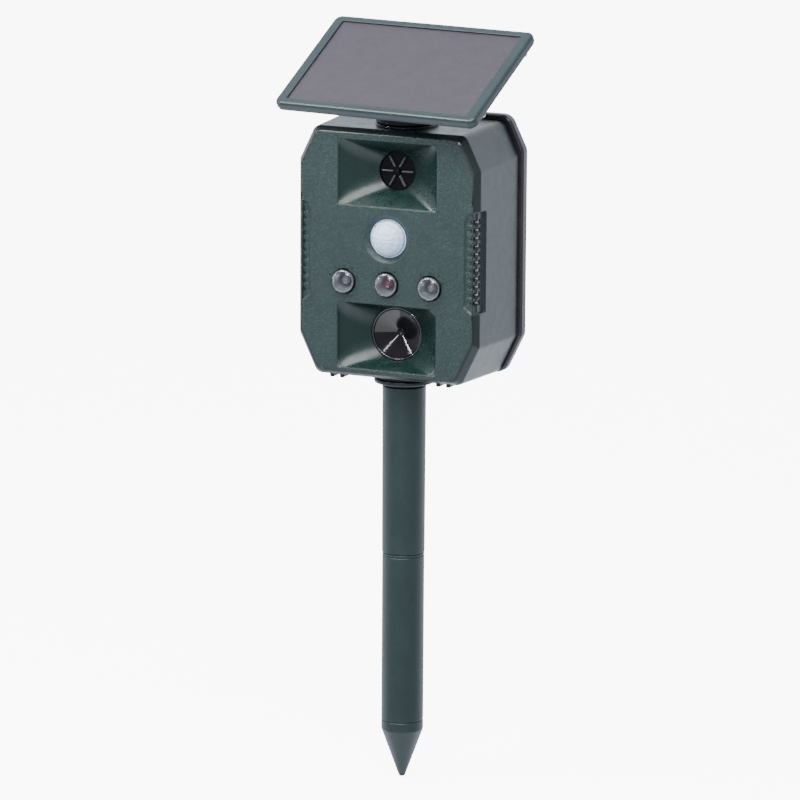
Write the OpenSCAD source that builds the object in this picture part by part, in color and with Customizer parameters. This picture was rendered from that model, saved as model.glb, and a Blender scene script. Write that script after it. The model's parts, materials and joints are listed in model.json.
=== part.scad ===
// Solar garden pest repeller on a two-piece stake.
// Origin on the stake axis at the ground line (top of the lower tube).
// +Z is up, -Y is the speaker side, +X is the viewer's right. Millimetres.

/* [Housing] */
// Half of the housing width at the front edge
body_half_w = 53.2; // [52:0.1:56]
// Height of the housing's lowest edge above the ground line
body_bottom = 102.4; // [102:0.1:103]
// Height of the housing's top edge above the ground line
body_top = 238.8; // [238:0.1:240]
// Front face position
face_y = -25; // [-25.5:0.1:-24.5]
// Back edge of the front housing, where the seal sits
seam_y = 27.5; // [27:0.1:29]
// Wall thickness of the housing
wall = 2.4; // [2.0:0.1:2.6]
// How much each side leans outwards by the back edge
draft = 1.6; // [1:0.1:2]
// Width of the bevel around the front face
bevel = 2.3; // [1.5:0.1:2.6]

/* [Speakers] */
// Half width of both horn mouths
mouth_half_w = 29; // [27:0.1:30]
// Depth of the horns from the face to the throat
horn_depth = 14; // [12:0.1:14.5]
// Height of the upper horn's centre
upper_horn_z = 215; // [214.5:0.1:215.5]
// Height of the lower horn's centre
lower_horn_z = 125.5; // [125:0.1:126]
// Radius of the upper horn's throat
upper_throat_r = 10.6; // [9.5:0.1:10.8]
// Radius of the lower horn's throat
lower_throat_r = 14.9; // [14:0.1:15]

/* [Sensor and lights] */
// Height of the motion sensor's centre
sensor_z = 180; // [179:0.1:181]
// Height of the row of lights
led_z = 155.1; // [154.5:0.1:156]
// Spacing of the lights
led_pitch = 25.3; // [24:0.1:26]
// Radius of each light's clear lens
led_r = 6.7; // [6.4:0.1:6.9]
// How far the straight wall of each lens stands out of the face
led_wall = 1.6; // [0.5:0.1:2]

/* [Solar panel] */
// Width of the panel
panel_w = 125.2; // [118:0.1:126]
// Depth of the panel
panel_d = 77.4; // [74:0.1:79]
// Resting tilt of the panel, front edge low
panel_tilt = 31.4; // [20:0.1:32]
// Resting turn of the panel about the vertical
panel_turn = -7.2; // [-20:0.1:20]
// Width of the frame's front and back rims
rim_w = 4.8; // [4.5:0.1:7]
// Width of the frame's side rims
side_rim_w = 6.4; // [5:0.1:7]

/* [Stake] */
// Radius of the lower tube, which the ground or a socket grips
lower_r = 11.65; // [11.4:0.05:11.7]
// Radius of the upper tube at its top
upper_r = 12; // [11.8:0.05:12.2]
// Bore radius of both tubes
tube_bore_r = 10; // [9.8:0.05:10.2]
// Length of the lower tube
lower_length = 93.2; // [90:0.1:94]

/* [Hidden] */
$fn = 96;
coarse = 32;
fit = 0.05;
gap = 0.3;
skin = 0.02;
green = [0.15, 0.26, 0.25];
black = [0.07, 0.07, 0.08];
steel = [0.72, 0.73, 0.75];

// Housing outline: chamfer sizes along X and Z, and how soft the corners are
top_chamfer = [9, 18.8];
bottom_chamfer = [10.5, 21.7];
corner_r = 5;
corner_steps = 4;
bevel_depth = 4;
inside_y = face_y + wall;

// Horns
throat_y = face_y + horn_depth;
upper_mouth_h = 36;
lower_mouth_h = 36.2;
flange_y = throat_y + 2.2;
cone_r = lower_throat_r - 1.1;
upper_flange_r = 16.5;
lower_flange_r = 20;
speaker_screw_r = 1.2;

// Finger grips on the front corners
grip_bottom = 142.4;
grip_top = 198.4;
grip_face_x = 45;
grip_back_y = -13;
grip_face_depth = 1;
grip_side_depth = 1.8;
groove_count = 11;
groove_pitch = 4.4;
groove_h = 2.2;
groove_depth = 0.9;

// Rear cover
seal_t = 0.8;
cover_y = seam_y + seal_t;
cover_back_y = 36;
cover_half_w = 57;
cover_bottom = 100.6;
cover_top = 243.3;
cover_edge_r = 2.2;
cover_inside_y = 33.6;
housing_screw_places = [[38, 226], [49, 171], [38, 114]];
screw_r = 1.5;
screw_head_r = 2.8;

// Motion sensor
lens_r = 9.9;
lens_h = 7.4;
lens_ring_r = 13;

// Circuit boards
board_y = -13;
board_t = 1.6;
board_half_w = 40;
board_z = [147.5, 193.5];
control_y = 22;
control_half_w = 40;
control_z = [181, 222];

// Rear controls
dial_x = 24;
dial_z = 208;
dial_r = 9;
dial_shaft_r = 3;
switch_x = -13;
port_x = 13;
control_row_z = 189;
switch_travel = 4;

// Batteries
cell_r = 7.1;
cell_l = 50.5;
cell_pitch = 15;
cell_y = 22.5;
cell_bottom = 112;
door_half_w = 26;
door_z = [108, 168];
door_screw_x = 22;

// Stake
flange_z = 97.2;
flange_t = 2.4;
flange_r = 16.6;
socket_top = flange_z + flange_t;
upper_top = 95.3;
coupler_t = 2;
spigot_r = tube_bore_r - fit;
tip_z = -126.7;
tip_shoulder_z = -98.9;
tip_r = 1.5;

// Panel hinge
hinge_y = 2;
hinge_z = 259.6;
seat_z = 239.9;
base_r = 17;
base_t = 3.2;
shaft_r = 5;
boss_bottom = 233.5;
ear_r = 5.2;
ear_t = 4.2;
knuckle_half_w = 5.8;
bolt_r = 2.5;

// Panel, measured from the hinge axis with the panel level
panel_back_z = 6;
panel_centre_y = 1.8;
back_t = 1.4;
frame_t = 4.2;
panel_corner_r = 4.5;
cell_recess = 1;
cell_t = 2;

// ---------- shared shapes ----------

function unit(v) = v / norm(v);

// Points of a rounded corner at b, between its neighbours a and c
function corner_arc(a, b, c, r) =
    let (to_a = unit(a - b), to_c = unit(c - b), half = acos(to_a * to_c) / 2,
         centre = b + unit(to_a + to_c) * r / sin(half),
         first = b + to_a * r / tan(half) - centre,
         last = b + to_c * r / tan(half) - centre,
         start = atan2(first[1], first[0]),
         turn = (atan2(last[1], last[0]) - start + 540) % 360 - 180)
    [for (i = [0 : corner_steps])
        centre + r * [cos(start + turn * i / corner_steps), sin(start + turn * i / corner_steps)]];

function rounded(points, r) =
    let (n = len(points))
    [for (i = [0 : n - 1])
        each corner_arc(points[(i + n - 1) % n], points[i], points[(i + 1) % n], r)];

// Eight-sided outline with long vertical sides; grow moves every side outwards
function octagon(half_w, bottom, top, grow) =
    let (x = half_w + grow, low = bottom - grow, high = top + grow,
         tx = x - top_chamfer[0], tz = high - top_chamfer[1],
         bx = x - bottom_chamfer[0], bz = low + bottom_chamfer[1])
    [[bx, low], [x, bz], [x, tz], [tx, high], [-tx, high], [-x, tz], [-x, bz], [-bx, low]];

function body_outline(grow) =
    rounded(octagon(body_half_w, body_bottom, body_top, grow), corner_r);

function cover_outline(grow) =
    rounded(octagon(cover_half_w, cover_bottom, cover_top, grow), corner_r + 2);

// Extrudes a flat shape, drawn in X and Z, from one Y position to another
module along_y(from, to) {
    translate([0, to, 0]) rotate([90, 0, 0]) linear_extrude(to - from) children();
}

// Cylinder or cone along Y
module drum(x, z, r, from, to, r_to = undef) {
    translate([x, from, z]) rotate([-90, 0, 0])
        cylinder(r1 = r, r2 = is_undef(r_to) ? r : r_to, h = to - from);
}

// Cylinder along Z
module post(x, y, r, from, to) {
    translate([x, y, from]) cylinder(r = r, h = to - from);
}

// Box from one corner to the opposite one
module block(low, high) {
    translate(low) cube(high - low);
}

// Spherical cap that bulges towards -Y from a circle of radius a
module dome(x, z, base_y, a, h) {
    r = (a * a + h * h) / (2 * h);
    intersection() {
        translate([x, base_y - h + r, z]) sphere(r = r);
        drum(x, z, a, base_y - h - 1, base_y);
    }
}

// Screw along Y with its head at the back, pointing to -Y
module screw_y(x, z, r, head_r, tip, head, head_t = 1.6) {
    drum(x, z, r, tip, head);
    drum(x, z, head_r, head, head + head_t);
}

module mirrored_x() {
    children();
    mirror([1, 0, 0]) children();
}

// ---------- stake ----------

module lower_tube() color(green) difference() {
    post(0, 0, lower_r, -lower_length, 0);
    post(0, 0, tube_bore_r, -lower_length - 1, 1);
}

module spike_tip() color(green) {
    post(0, 0, spigot_r, -lower_length, -lower_length + 10);
    post(0, 0, lower_r - 0.5, -lower_length - 0.8, -lower_length);
    post(0, 0, lower_r, tip_shoulder_z, -lower_length - 0.8);
    translate([0, 0, tip_z + tip_r])
        cylinder(r1 = tip_r, r2 = lower_r, h = tip_shoulder_z - tip_z - tip_r);
    translate([0, 0, tip_z + tip_r]) sphere(r = tip_r);
}

// Short sleeve that joins the two tubes, with a thin collar between them
module tube_coupler() color(green) difference() {
    union() {
        post(0, 0, spigot_r, -14, 20);
        post(0, 0, lower_r - 0.35, 0, coupler_t - gap);
        post(0, 0, lower_r, 0.4, coupler_t - gap - 0.3);
    }
    post(0, 0, spigot_r - 2, -15, 21);
}

module upper_tube() color(green) difference() {
    translate([0, 0, coupler_t])
        cylinder(r1 = upper_r - 0.2, r2 = upper_r, h = upper_top - coupler_t);
    post(0, 0, tube_bore_r, coupler_t - 1, upper_top + 1);
}

// Flanged plug under the housing that drops into the upper tube
module stake_socket() color(green) difference() {
    union() {
        post(0, 0, spigot_r, 78, flange_z);
        post(0, 0, upper_r - 1.1, upper_top + gap, flange_z);
        post(0, 0, upper_r - 0.2, upper_top + 1, flange_z);
        post(0, 0, flange_r, flange_z, socket_top);
    }
    post(0, 0, spigot_r - 2.2, 77, flange_z - 1);
    for (x = [-12.5, 12.5]) post(x, 0, screw_r, flange_z + 0.6, socket_top + 1);
}

module socket_screws() color(steel) for (x = [-12.5, 12.5]) {
    post(x, 0, screw_r, flange_z + 0.6, body_bottom + wall);
    post(x, 0, screw_head_r, body_bottom + wall, body_bottom + wall + 1.8);
}

// ---------- housing ----------

module housing_skin() hull() {
    along_y(face_y, face_y + skin) polygon(body_outline(-bevel));
    along_y(face_y + bevel_depth, face_y + bevel_depth + skin) polygon(body_outline(0));
    along_y(seam_y - skin, seam_y) polygon(body_outline(draft));
}

// Horn loft from a rectangular mouth to a round throat, grown outwards by grow
module horn_loft(z, h, throat_r, grow, from) hull() {
    along_y(from, from + skin)
        translate([-mouth_half_w - grow, z - h / 2 - grow])
            square([2 * (mouth_half_w + grow), h + 2 * grow]);
    translate([0, throat_y, z]) rotate([-90, 0, 0])
        cylinder(r = throat_r + grow, h = skin, $fn = coarse);
}

module horn_back(z, flange_radius) drum(0, z, flange_radius, throat_y - 0.4, flange_y);

module grip_cut() {
    block([grip_face_x, face_y - 1, grip_bottom],
          [body_half_w + 3, face_y + grip_face_depth, grip_top]);
    block([body_half_w - grip_side_depth, face_y - 1, grip_bottom],
          [body_half_w + 3, grip_back_y, grip_top]);
    middle = (grip_bottom + grip_top) / 2;
    for (i = [0 : groove_count - 1]) {
        z = middle + (i - (groove_count - 1) / 2) * groove_pitch - groove_h / 2;
        block([grip_face_x + 3.2, face_y - 1, z],
              [body_half_w + 3, face_y + grip_face_depth + groove_depth, z + groove_h]);
        block([body_half_w - grip_side_depth - groove_depth, face_y - 1, z],
              [body_half_w + 3, grip_back_y - 1, z + groove_h]);
    }
}

// Thicker wall behind the grips, so that the grooves don't break through
module grip_backing() {
    block([grip_face_x - 1, inside_y - 0.5, grip_bottom - 2],
          [body_half_w - 1, grip_back_y + 2, grip_top + 2]);
}

module housing_bosses() {
    for (p = housing_screw_places) drum(p[0], p[1], 3.6, inside_y - 0.5, seam_y);
    for (z = [board_z[0] + 4, board_z[1] - 4]) drum(36, z, 2.8, inside_y - 0.5, board_y);
}

module boss_holes() {
    for (p = housing_screw_places) drum(p[0], p[1], screw_r, seam_y - 12, seam_y + 1);
    for (z = [board_z[0] + 4, board_z[1] - 4])
        drum(36, z, speaker_screw_r, board_y - 6, board_y + 1);
}

module foot_ribs() {
    for (x = [28.5, 34.4])
        block([x - 1.25, face_y + 5, body_bottom - 2], [x + 1.25, face_y + 16, body_bottom + 1]);
}

// Screw places around a speaker's flange
module around_speaker(z, r) {
    for (a = [45 : 90 : 315]) translate([r * cos(a), 0, z + r * sin(a)]) children();
}

module front_housing() color(green) difference() {
    union() {
        difference() {
            housing_skin();
            along_y(inside_y, seam_y + 1) polygon(body_outline(-wall));
        }
        horn_loft(upper_horn_z, upper_mouth_h, upper_throat_r, 2, face_y + 0.5);
        horn_loft(lower_horn_z, lower_mouth_h, lower_throat_r, 2, face_y + 0.5);
        horn_back(upper_horn_z, upper_flange_r);
        horn_back(lower_horn_z, lower_flange_r);
        mirrored_x() {
            housing_bosses();
            grip_backing();
            foot_ribs();
        }
        post(0, 0, flange_r - 1.6, socket_top, body_bottom + wall);
        post(0, hinge_y, base_r + 0.6, body_top - wall, seat_z);
        post(0, hinge_y, 9, boss_bottom, seat_z);
    }
    horn_loft(upper_horn_z, upper_mouth_h, upper_throat_r, 0, face_y - skin);
    horn_loft(lower_horn_z, lower_mouth_h, lower_throat_r, 0, face_y - skin);
    drum(0, upper_horn_z, upper_throat_r, throat_y - 0.5, flange_y + 1);
    drum(0, lower_horn_z, lower_throat_r, throat_y - 0.5, flange_y + 1);
    around_speaker(upper_horn_z, 13.6) drum(0, 0, speaker_screw_r, flange_y - 1.8, flange_y + 1);
    around_speaker(lower_horn_z, 17.3) drum(0, 0, speaker_screw_r, flange_y - 1.8, flange_y + 1);
    drum(0, sensor_z, lens_ring_r, face_y - skin, inside_y + skin, lens_r + 0.5);
    for (x = [-led_pitch, 0, led_pitch]) drum(x, led_z, led_r, face_y - 1, inside_y + 1);
    mirrored_x() {
        boss_holes();
        grip_cut();
        post(12.5, 0, screw_r, socket_top - 1, body_bottom + wall + 1);
    }
    post(0, hinge_y, shaft_r + fit, boss_bottom - 1, seat_z + 1);
}

module housing_seal() color(black) difference() {
    along_y(seam_y, cover_y) polygon(body_outline(draft - 0.7));
    along_y(seam_y - 1, cover_y + 1) polygon(body_outline(-2));
    mirrored_x() for (p = housing_screw_places) drum(p[0], p[1], screw_r + 0.3, seam_y - 1, cover_y + 1);
}

module cover_skin() hull() {
    along_y(cover_y, cover_y + skin) polygon(cover_outline(-0.8));
    along_y(cover_y + 1.2, cover_back_y - cover_edge_r) polygon(cover_outline(0));
    along_y(cover_back_y - skin, cover_back_y) polygon(cover_outline(-cover_edge_r));
}

module dial_cup(x) drum(x, dial_z, dial_r + 1.2, cover_back_y - 4.4, cover_back_y + 1);

module rear_cover() color(black) difference() {
    union() {
        difference() {
            cover_skin();
            along_y(cover_y - 1, cover_inside_y) polygon(body_outline(-wall));
        }
        mirrored_x() {
            for (p = housing_screw_places) drum(p[0], p[1], 4, cover_y, cover_inside_y + 1);
            drum(dial_x, dial_z, dial_r + 3, cover_back_y - 6.4, cover_back_y - 1);
            for (z = [control_z[0] + 4, control_z[1] - 4])
                drum(36, z, 2.8, control_y + board_t, cover_inside_y + 1);
            drum(door_screw_x, door_z[1] - 4, 2.9, cover_y + 1, cover_inside_y + 0.5);
        }
    }
    mirrored_x() {
        dial_cup(dial_x);
        drum(dial_x, dial_z, 5, cover_back_y - 8, cover_back_y);
        for (p = housing_screw_places) {
            drum(p[0], p[1], screw_r + 0.2, cover_y - 1, cover_back_y);
            drum(p[0], p[1], screw_head_r + 0.4, cover_back_y - 2, cover_back_y + 1);
        }
        for (z = [control_z[0] + 4, control_z[1] - 4])
            drum(36, z, speaker_screw_r, control_y, control_y + 8);
        drum(door_screw_x, door_z[1] - 4, speaker_screw_r, cover_y, cover_back_y - 1.8);
    }
    // Battery opening with a ledge for its cover
    block([-door_half_w, cover_back_y - 1.8, door_z[0]],
          [door_half_w, cover_back_y + 1, door_z[1]]);
    block([-door_half_w + 2.5, cover_y - 1, door_z[0] + 2.5],
          [door_half_w - 2.5, cover_back_y, door_z[1] - 7]);
    // Switch slot and charging socket, with a shallow seat for the rubber cover
    block([switch_x - 5.5, cover_y - 1, control_row_z - 2.3],
          [switch_x + 5.5, cover_back_y + 1, control_row_z + 2.3]);
    block([port_x - 5, cover_y - 1, control_row_z - 2.2],
          [port_x + 5, cover_back_y + 1, control_row_z + 2.2]);
    block([port_x - 8, cover_back_y - 1.2, control_row_z - 5.5],
          [port_x + 8, cover_back_y + 1, control_row_z + 6.7]);
}

module housing_screws() color(steel) mirrored_x()
    for (p = housing_screw_places)
        screw_y(p[0], p[1], screw_r, screw_head_r, seam_y - 11, cover_back_y - 2);

// ---------- speakers ----------

module speaker_motor(z, flange_radius, can_r, depth) difference() {
    union() {
        drum(0, z, flange_radius, flange_y, flange_y + 2);
        drum(0, z, can_r, flange_y + 2, flange_y + depth);
    }
    around_speaker(z, flange_radius - 2.8) drum(0, 0, speaker_screw_r, flange_y - 1, flange_y + 3);
}

module upper_tweeter() color(black)
    speaker_motor(upper_horn_z, upper_flange_r - 0.1, 10.5, 10);

// Hub and six fins in the throat of the upper horn
module tweeter_fins() color(black) {
    drum(0, upper_horn_z, upper_throat_r, throat_y + 0.6, flange_y);
    drum(0, upper_horn_z, 1.7, throat_y - 1, throat_y + 0.6);
    for (a = [0 : 60 : 300])
        translate([0, 0, upper_horn_z]) rotate([0, a, 0])
            block([1, throat_y - 0.6, -0.45], [upper_throat_r - 1, throat_y + 0.6, 0.45]);
}

module lower_tweeter() color(black) difference() {
    speaker_motor(lower_horn_z, lower_flange_r + 0.1, 15, 14);
    drum(0, lower_horn_z, lower_throat_r, flange_y - 1, flange_y + 5, 3);
}

// Shallow glossy diaphragm with a small centre button
module speaker_cone() color(black) {
    difference() {
        drum(0, lower_horn_z, cone_r, throat_y + 0.9, flange_y + 4, 1.5);
        drum(0, lower_horn_z, cone_r - 0.6, throat_y + 0.5, flange_y + 3.2, 1.2);
    }
    dome(0, lower_horn_z, flange_y + 3.6, 1.5, 1.2);
}

module speaker_bezel() color(steel) difference() {
    drum(0, lower_horn_z, lower_throat_r, throat_y + 0.2, throat_y + 1.4);
    drum(0, lower_horn_z, cone_r, throat_y, throat_y + 2);
}

module speaker_screws() color(steel) {
    around_speaker(upper_horn_z, upper_flange_r - 2.9)
        screw_y(0, 0, speaker_screw_r, 2.1, flange_y - 1.7, flange_y + 2, 1.3);
    around_speaker(lower_horn_z, lower_flange_r - 2.7)
        screw_y(0, 0, speaker_screw_r, 2.1, flange_y - 1.7, flange_y + 2, 1.3);
}

// ---------- motion sensor ----------

module motion_lens() color("white") difference() {
    union() {
        dome(0, sensor_z, inside_y, lens_r, lens_h);
        drum(0, sensor_z, lens_r + 2, inside_y, inside_y + 1.2);
    }
    dome(0, sensor_z, inside_y + skin, lens_r - 1, lens_h - 1);
    drum(0, sensor_z, lens_r - 1, inside_y, inside_y + 2);
}

module motion_sensor() color(steel) {
    drum(0, sensor_z, 4.1, board_y - 4.2, board_y);
    drum(0, sensor_z, 4.7, board_y - 0.6, board_y);
}

// ---------- lights ----------

// Clear cap: a short wall that stands out of the face, with a domed front
module led_lens(x) color([0.9, 0.93, 0.95, 0.5]) difference() {
    union() {
        dome(x, led_z, face_y - led_wall, led_r - 0.1, 2.4);
        drum(x, led_z, led_r - 0.1, face_y - led_wall - skin, face_y + 0.4 + skin);
        drum(x, led_z, led_r, face_y + 0.4, inside_y);
        drum(x, led_z, led_r + 1, inside_y, inside_y + 1);
    }
    dome(x, led_z, face_y - led_wall + skin, led_r - 1, 1.6);
    drum(x, led_z, led_r - 0.9, face_y - led_wall, inside_y + 2);
}

// Bright cone that holds the bulb and throws its light forwards
module led_reflector(x) color(steel) difference() {
    drum(x, led_z, led_r - 0.95, face_y - led_wall + 0.3, face_y + 7.5);
    drum(x, led_z, led_r - 1.3, face_y - led_wall + 0.2, face_y + 6.5, 2.8);
    drum(x, led_z, 2.6, face_y + 6, face_y + 8);
}

module led_bulb(x) color([0.8, 0.8, 0.85]) {
    dome(x, led_z, face_y + 4, 2.5, 2.5);
    drum(x, led_z, 2.5, face_y + 4, face_y + 9);
    for (side = [-1.27, 1.27])
        block([x + side - 0.25, face_y + 9, led_z - 0.25], [x + side + 0.25, board_y, led_z + 0.25]);
}

module led_lens_left() led_lens(-led_pitch);
module led_lens_middle() led_lens(0);
module led_lens_right() led_lens(led_pitch);
module led_reflector_left() led_reflector(-led_pitch);
module led_reflector_middle() led_reflector(0);
module led_reflector_right() led_reflector(led_pitch);
module led_left() led_bulb(-led_pitch);
module led_middle() led_bulb(0);
module led_right() led_bulb(led_pitch);

// ---------- circuit boards ----------

module main_circuit_board() color([0.1, 0.35, 0.2]) difference() {
    block([-board_half_w, board_y, board_z[0]], [board_half_w, board_y + board_t, board_z[1]]);
    mirrored_x() for (z = [board_z[0] + 4, board_z[1] - 4])
        drum(36, z, speaker_screw_r, board_y - 1, board_y + board_t + 1);
}

module main_board_screws() color(steel) mirrored_x()
    for (z = [board_z[0] + 4, board_z[1] - 4])
        screw_y(36, z, speaker_screw_r, 2.1, board_y - 5, board_y + board_t, 1.3);

module control_board() color([0.1, 0.35, 0.2]) difference() {
    block([-control_half_w, control_y, control_z[0]],
          [control_half_w, control_y + board_t, control_z[1]]);
    mirrored_x() for (z = [control_z[0] + 4, control_z[1] - 4])
        drum(36, z, speaker_screw_r, control_y - 1, control_y + board_t + 1);
}

module control_board_screws() color(steel) mirrored_x()
    for (z = [control_z[0] + 4, control_z[1] - 4]) {
        drum(36, z, speaker_screw_r, control_y, control_y + 7);
        drum(36, z, 2.1, control_y - 1.3, control_y);
    }

// ---------- rear controls ----------

module potentiometer(x) color(steel) difference() {
    union() {
        block([x - 6, control_y + board_t, dial_z - 6], [x + 6, cover_y, dial_z + 6]);
        drum(x, dial_z, 4.5, cover_y, cover_back_y - 6.6);
    }
    drum(x, dial_z, dial_shaft_r + fit, control_y + board_t + 1, cover_back_y);
}

module frequency_potentiometer() potentiometer(-dial_x);
module sensitivity_potentiometer() potentiometer(dial_x);

// Knob with a finger bar, on its own shaft
module dial(x) color(black) {
    drum(x, dial_z, dial_shaft_r, control_y + board_t + 1.5, cover_back_y - 4);
    drum(x, dial_z, dial_r, cover_back_y - 4, cover_back_y - 1);
    block([x - 1.6, cover_back_y - 1, dial_z - dial_r + 1],
          [x + 1.6, cover_back_y + 1.6, dial_z + dial_r - 1]);
}

module frequency_dial() dial(-dial_x);
module sensitivity_dial() dial(dial_x);

module switch_housing() color(steel) difference() {
    block([switch_x - 7, control_y + board_t, control_row_z - 3.2],
          [switch_x + 7, cover_y, control_row_z + 3.2]);
    block([switch_x - 5.5, control_y + board_t + 2, control_row_z - 1.8],
          [switch_x + 5.5, cover_y + 1, control_row_z + 1.8]);
}

// Sliding button, resting in its off position at the low X end
module power_switch() color(black) {
    low_x = switch_x - switch_travel / 2 - 2.5;
    block([low_x, control_y + board_t + 2.4, control_row_z - 1.4],
          [low_x + 5, cover_back_y + 1, control_row_z + 1.4]);
}

module charge_socket() color(steel) difference() {
    block([port_x - 4.6, control_y + board_t, control_row_z - 1.8],
          [port_x + 4.6, cover_back_y - 2, control_row_z + 1.8]);
    block([port_x - 4.2, control_y + board_t + 2, control_row_z - 1.4],
          [port_x + 4.2, cover_back_y, control_row_z + 1.4]);
}

// Rubber flap over the charging socket, hinged at its upper edge
module port_cover() color(black) {
    block([port_x - 7.6, cover_back_y - 0.9, control_row_z - 5.1],
          [port_x + 7.6, cover_back_y + 0.6, control_row_z + 5.4]);
    translate([port_x - 7.6, cover_back_y, control_row_z + 5.4])
        rotate([0, 90, 0]) cylinder(r = 0.9, h = 15.2);
}

// ---------- batteries ----------

// Open tub behind the battery cover, with a round channel for each cell
module battery_holder() color(black) difference() {
    low = cell_bottom - 1.8;
    high = cell_bottom + cell_l + 1.8;
    block([-24.5, cell_y - 8.5, low - 2], [24.5, cover_inside_y, high + 2]);
    for (i = [-1 : 1]) post(i * cell_pitch, cell_y, cell_r + 0.2, low, high);
    block([-22.6, cell_y, low], [22.6, cover_inside_y + 1, high]);
    // Room for the rear cover's screw posts
    for (x = [-door_screw_x, door_screw_x])
        drum(x, door_z[1] - 4, 3.3, cover_y, cover_inside_y + 1);
}

module batteries() color([0.75, 0.76, 0.78]) for (i = [-1 : 1]) {
    post(i * cell_pitch, cell_y, cell_r, cell_bottom, cell_bottom + cell_l - 1);
    post(i * cell_pitch, cell_y, 2.7, cell_bottom + cell_l - 1, cell_bottom + cell_l);
}

module battery_contacts() color(steel) for (i = [-1 : 1]) {
    for (z = [cell_bottom - 1, cell_bottom + cell_l + 0.4])
        block([i * cell_pitch - 4, cell_y - 4, z], [i * cell_pitch + 4, cell_y + 3, z + 0.6]);
}

module battery_cover() color(black) difference() {
    block([-door_half_w + gap, cover_back_y - 1.8, door_z[0] + gap],
          [door_half_w - gap, cover_back_y - 0.2, door_z[1] - gap]);
    for (x = [-door_screw_x, door_screw_x])
        drum(x, door_z[1] - 4, speaker_screw_r, cover_back_y - 3, cover_back_y + 1);
}

module battery_cover_screws() color(steel) for (x = [-door_screw_x, door_screw_x])
    screw_y(x, door_z[1] - 4, speaker_screw_r, 2.1, cover_back_y - 5, cover_back_y - 0.2, 1);

// ---------- swivel and tilt hinge ----------

module at_swivel() translate([0, hinge_y, 0]) rotate([0, 0, panel_turn]) children();

// Cylinder along X through the tilt axis
module hinge_rod(r, from, to) {
    translate([from, 0, hinge_z]) rotate([0, 90, 0]) cylinder(r = r, h = to - from);
}

module swivel_base() color(black) at_swivel() difference() {
    union() {
        post(0, 0, base_r, seat_z + gap, seat_z + gap + base_t);
        post(0, 0, shaft_r, boss_bottom - 0.3, seat_z + gap + base_t);
        mirrored_x() {
            hinge_rod(ear_r, knuckle_half_w + gap, knuckle_half_w + gap + ear_t);
            block([knuckle_half_w + gap, -ear_r, seat_z + gap + base_t - 0.5],
                  [knuckle_half_w + gap + ear_t, ear_r, hinge_z]);
        }
    }
    hinge_rod(bolt_r, -20, 20);
    post(0, 0, screw_r, boss_bottom - 1, boss_bottom + 6);
}

module swivel_washer() color(steel) at_swivel() difference() {
    post(0, 0, 8, boss_bottom - 1.5, boss_bottom - 0.3);
    post(0, 0, screw_r, boss_bottom - 3, boss_bottom + 1);
}

module swivel_screw() color(steel) at_swivel() {
    post(0, 0, screw_r, boss_bottom - 1.5, boss_bottom + 6);
    post(0, 0, screw_head_r, boss_bottom - 3.3, boss_bottom - 1.5);
}

module hinge_bolt() color(steel) at_swivel() {
    ear_out = knuckle_half_w + gap + ear_t;
    hinge_rod(bolt_r, -ear_out, ear_out + 4);
    hinge_rod(4.3, -ear_out - 2.6, -ear_out);
}

module hinge_nut() color(steel) at_swivel() difference() {
    ear_out = knuckle_half_w + gap + ear_t;
    translate([ear_out, 0, hinge_z]) rotate([0, 90, 0]) cylinder(r = 4.6, h = 3, $fn = 6);
    hinge_rod(bolt_r, ear_out - 1, ear_out + 4);
}

// ---------- solar panel ----------

// Places a level panel, drawn from the hinge axis, at its resting tilt and turn
module at_panel() {
    translate([0, hinge_y, hinge_z]) rotate([0, 0, panel_turn]) rotate([panel_tilt, 0, 0]) children();
}

module panel_plate(inset, from, to) {
    half_w = panel_w / 2 - inset;
    half_d = panel_d / 2 - inset;
    translate([0, panel_centre_y, from]) linear_extrude(to - from)
        polygon(rounded([[half_w, -half_d], [half_w, half_d], [-half_w, half_d], [-half_w, -half_d]],
                        panel_corner_r - inset));
}

// Area between the rims, made smaller all round by inset
module panel_window(inset, from, to) {
    half_w = panel_w / 2 - side_rim_w - inset;
    half_d = panel_d / 2 - rim_w - inset;
    block([-half_w, panel_centre_y - half_d, from], [half_w, panel_centre_y + half_d, to]);
}

// Screw places under the frame's left and right rims
module panel_screw_places() {
    for (x = [-1, 1], y = [-1, 1])
        translate([x * (panel_w / 2 - 2.4), panel_centre_y + y * panel_d / 3, 0]) children();
}

module panel_back() color(green) at_panel() difference() {
    union() {
        panel_plate(0.5, panel_back_z, panel_back_z + back_t);
        translate([-knuckle_half_w, 0, 0]) rotate([0, 90, 0])
            cylinder(r = ear_r, h = 2 * knuckle_half_w);
        block([-knuckle_half_w, -ear_r, 0], [knuckle_half_w, ear_r, panel_back_z + 0.5]);
    }
    translate([-20, 0, 0]) rotate([0, 90, 0]) cylinder(r = bolt_r + fit, h = 40);
    panel_screw_places() post(0, 0, speaker_screw_r, panel_back_z - 1, panel_back_z + back_t + 1);
}

module panel_frame() color(green) at_panel() {
    base = panel_back_z + back_t;
    top = base + frame_t;
    difference() {
        hull() {
            panel_plate(0, base, top - 1.6);
            panel_plate(1.2, top - skin, top);
        }
        panel_window(0, base - 1, top + 1);
        panel_window(-1, base - 1, top - cell_recess);
        panel_screw_places() post(0, 0, speaker_screw_r, base - 1, base + 2.4);
    }
}

module solar_cell() color([0.42, 0.4, 0.46]) at_panel() {
    top = panel_back_z + back_t + frame_t - cell_recess;
    panel_window(-0.8, top - cell_t, top);
}

module panel_screws() color(steel) at_panel() panel_screw_places() {
    post(0, 0, speaker_screw_r, panel_back_z, panel_back_z + back_t + 2.2);
    post(0, 0, 1.8, panel_back_z - 1, panel_back_z);
}

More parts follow.
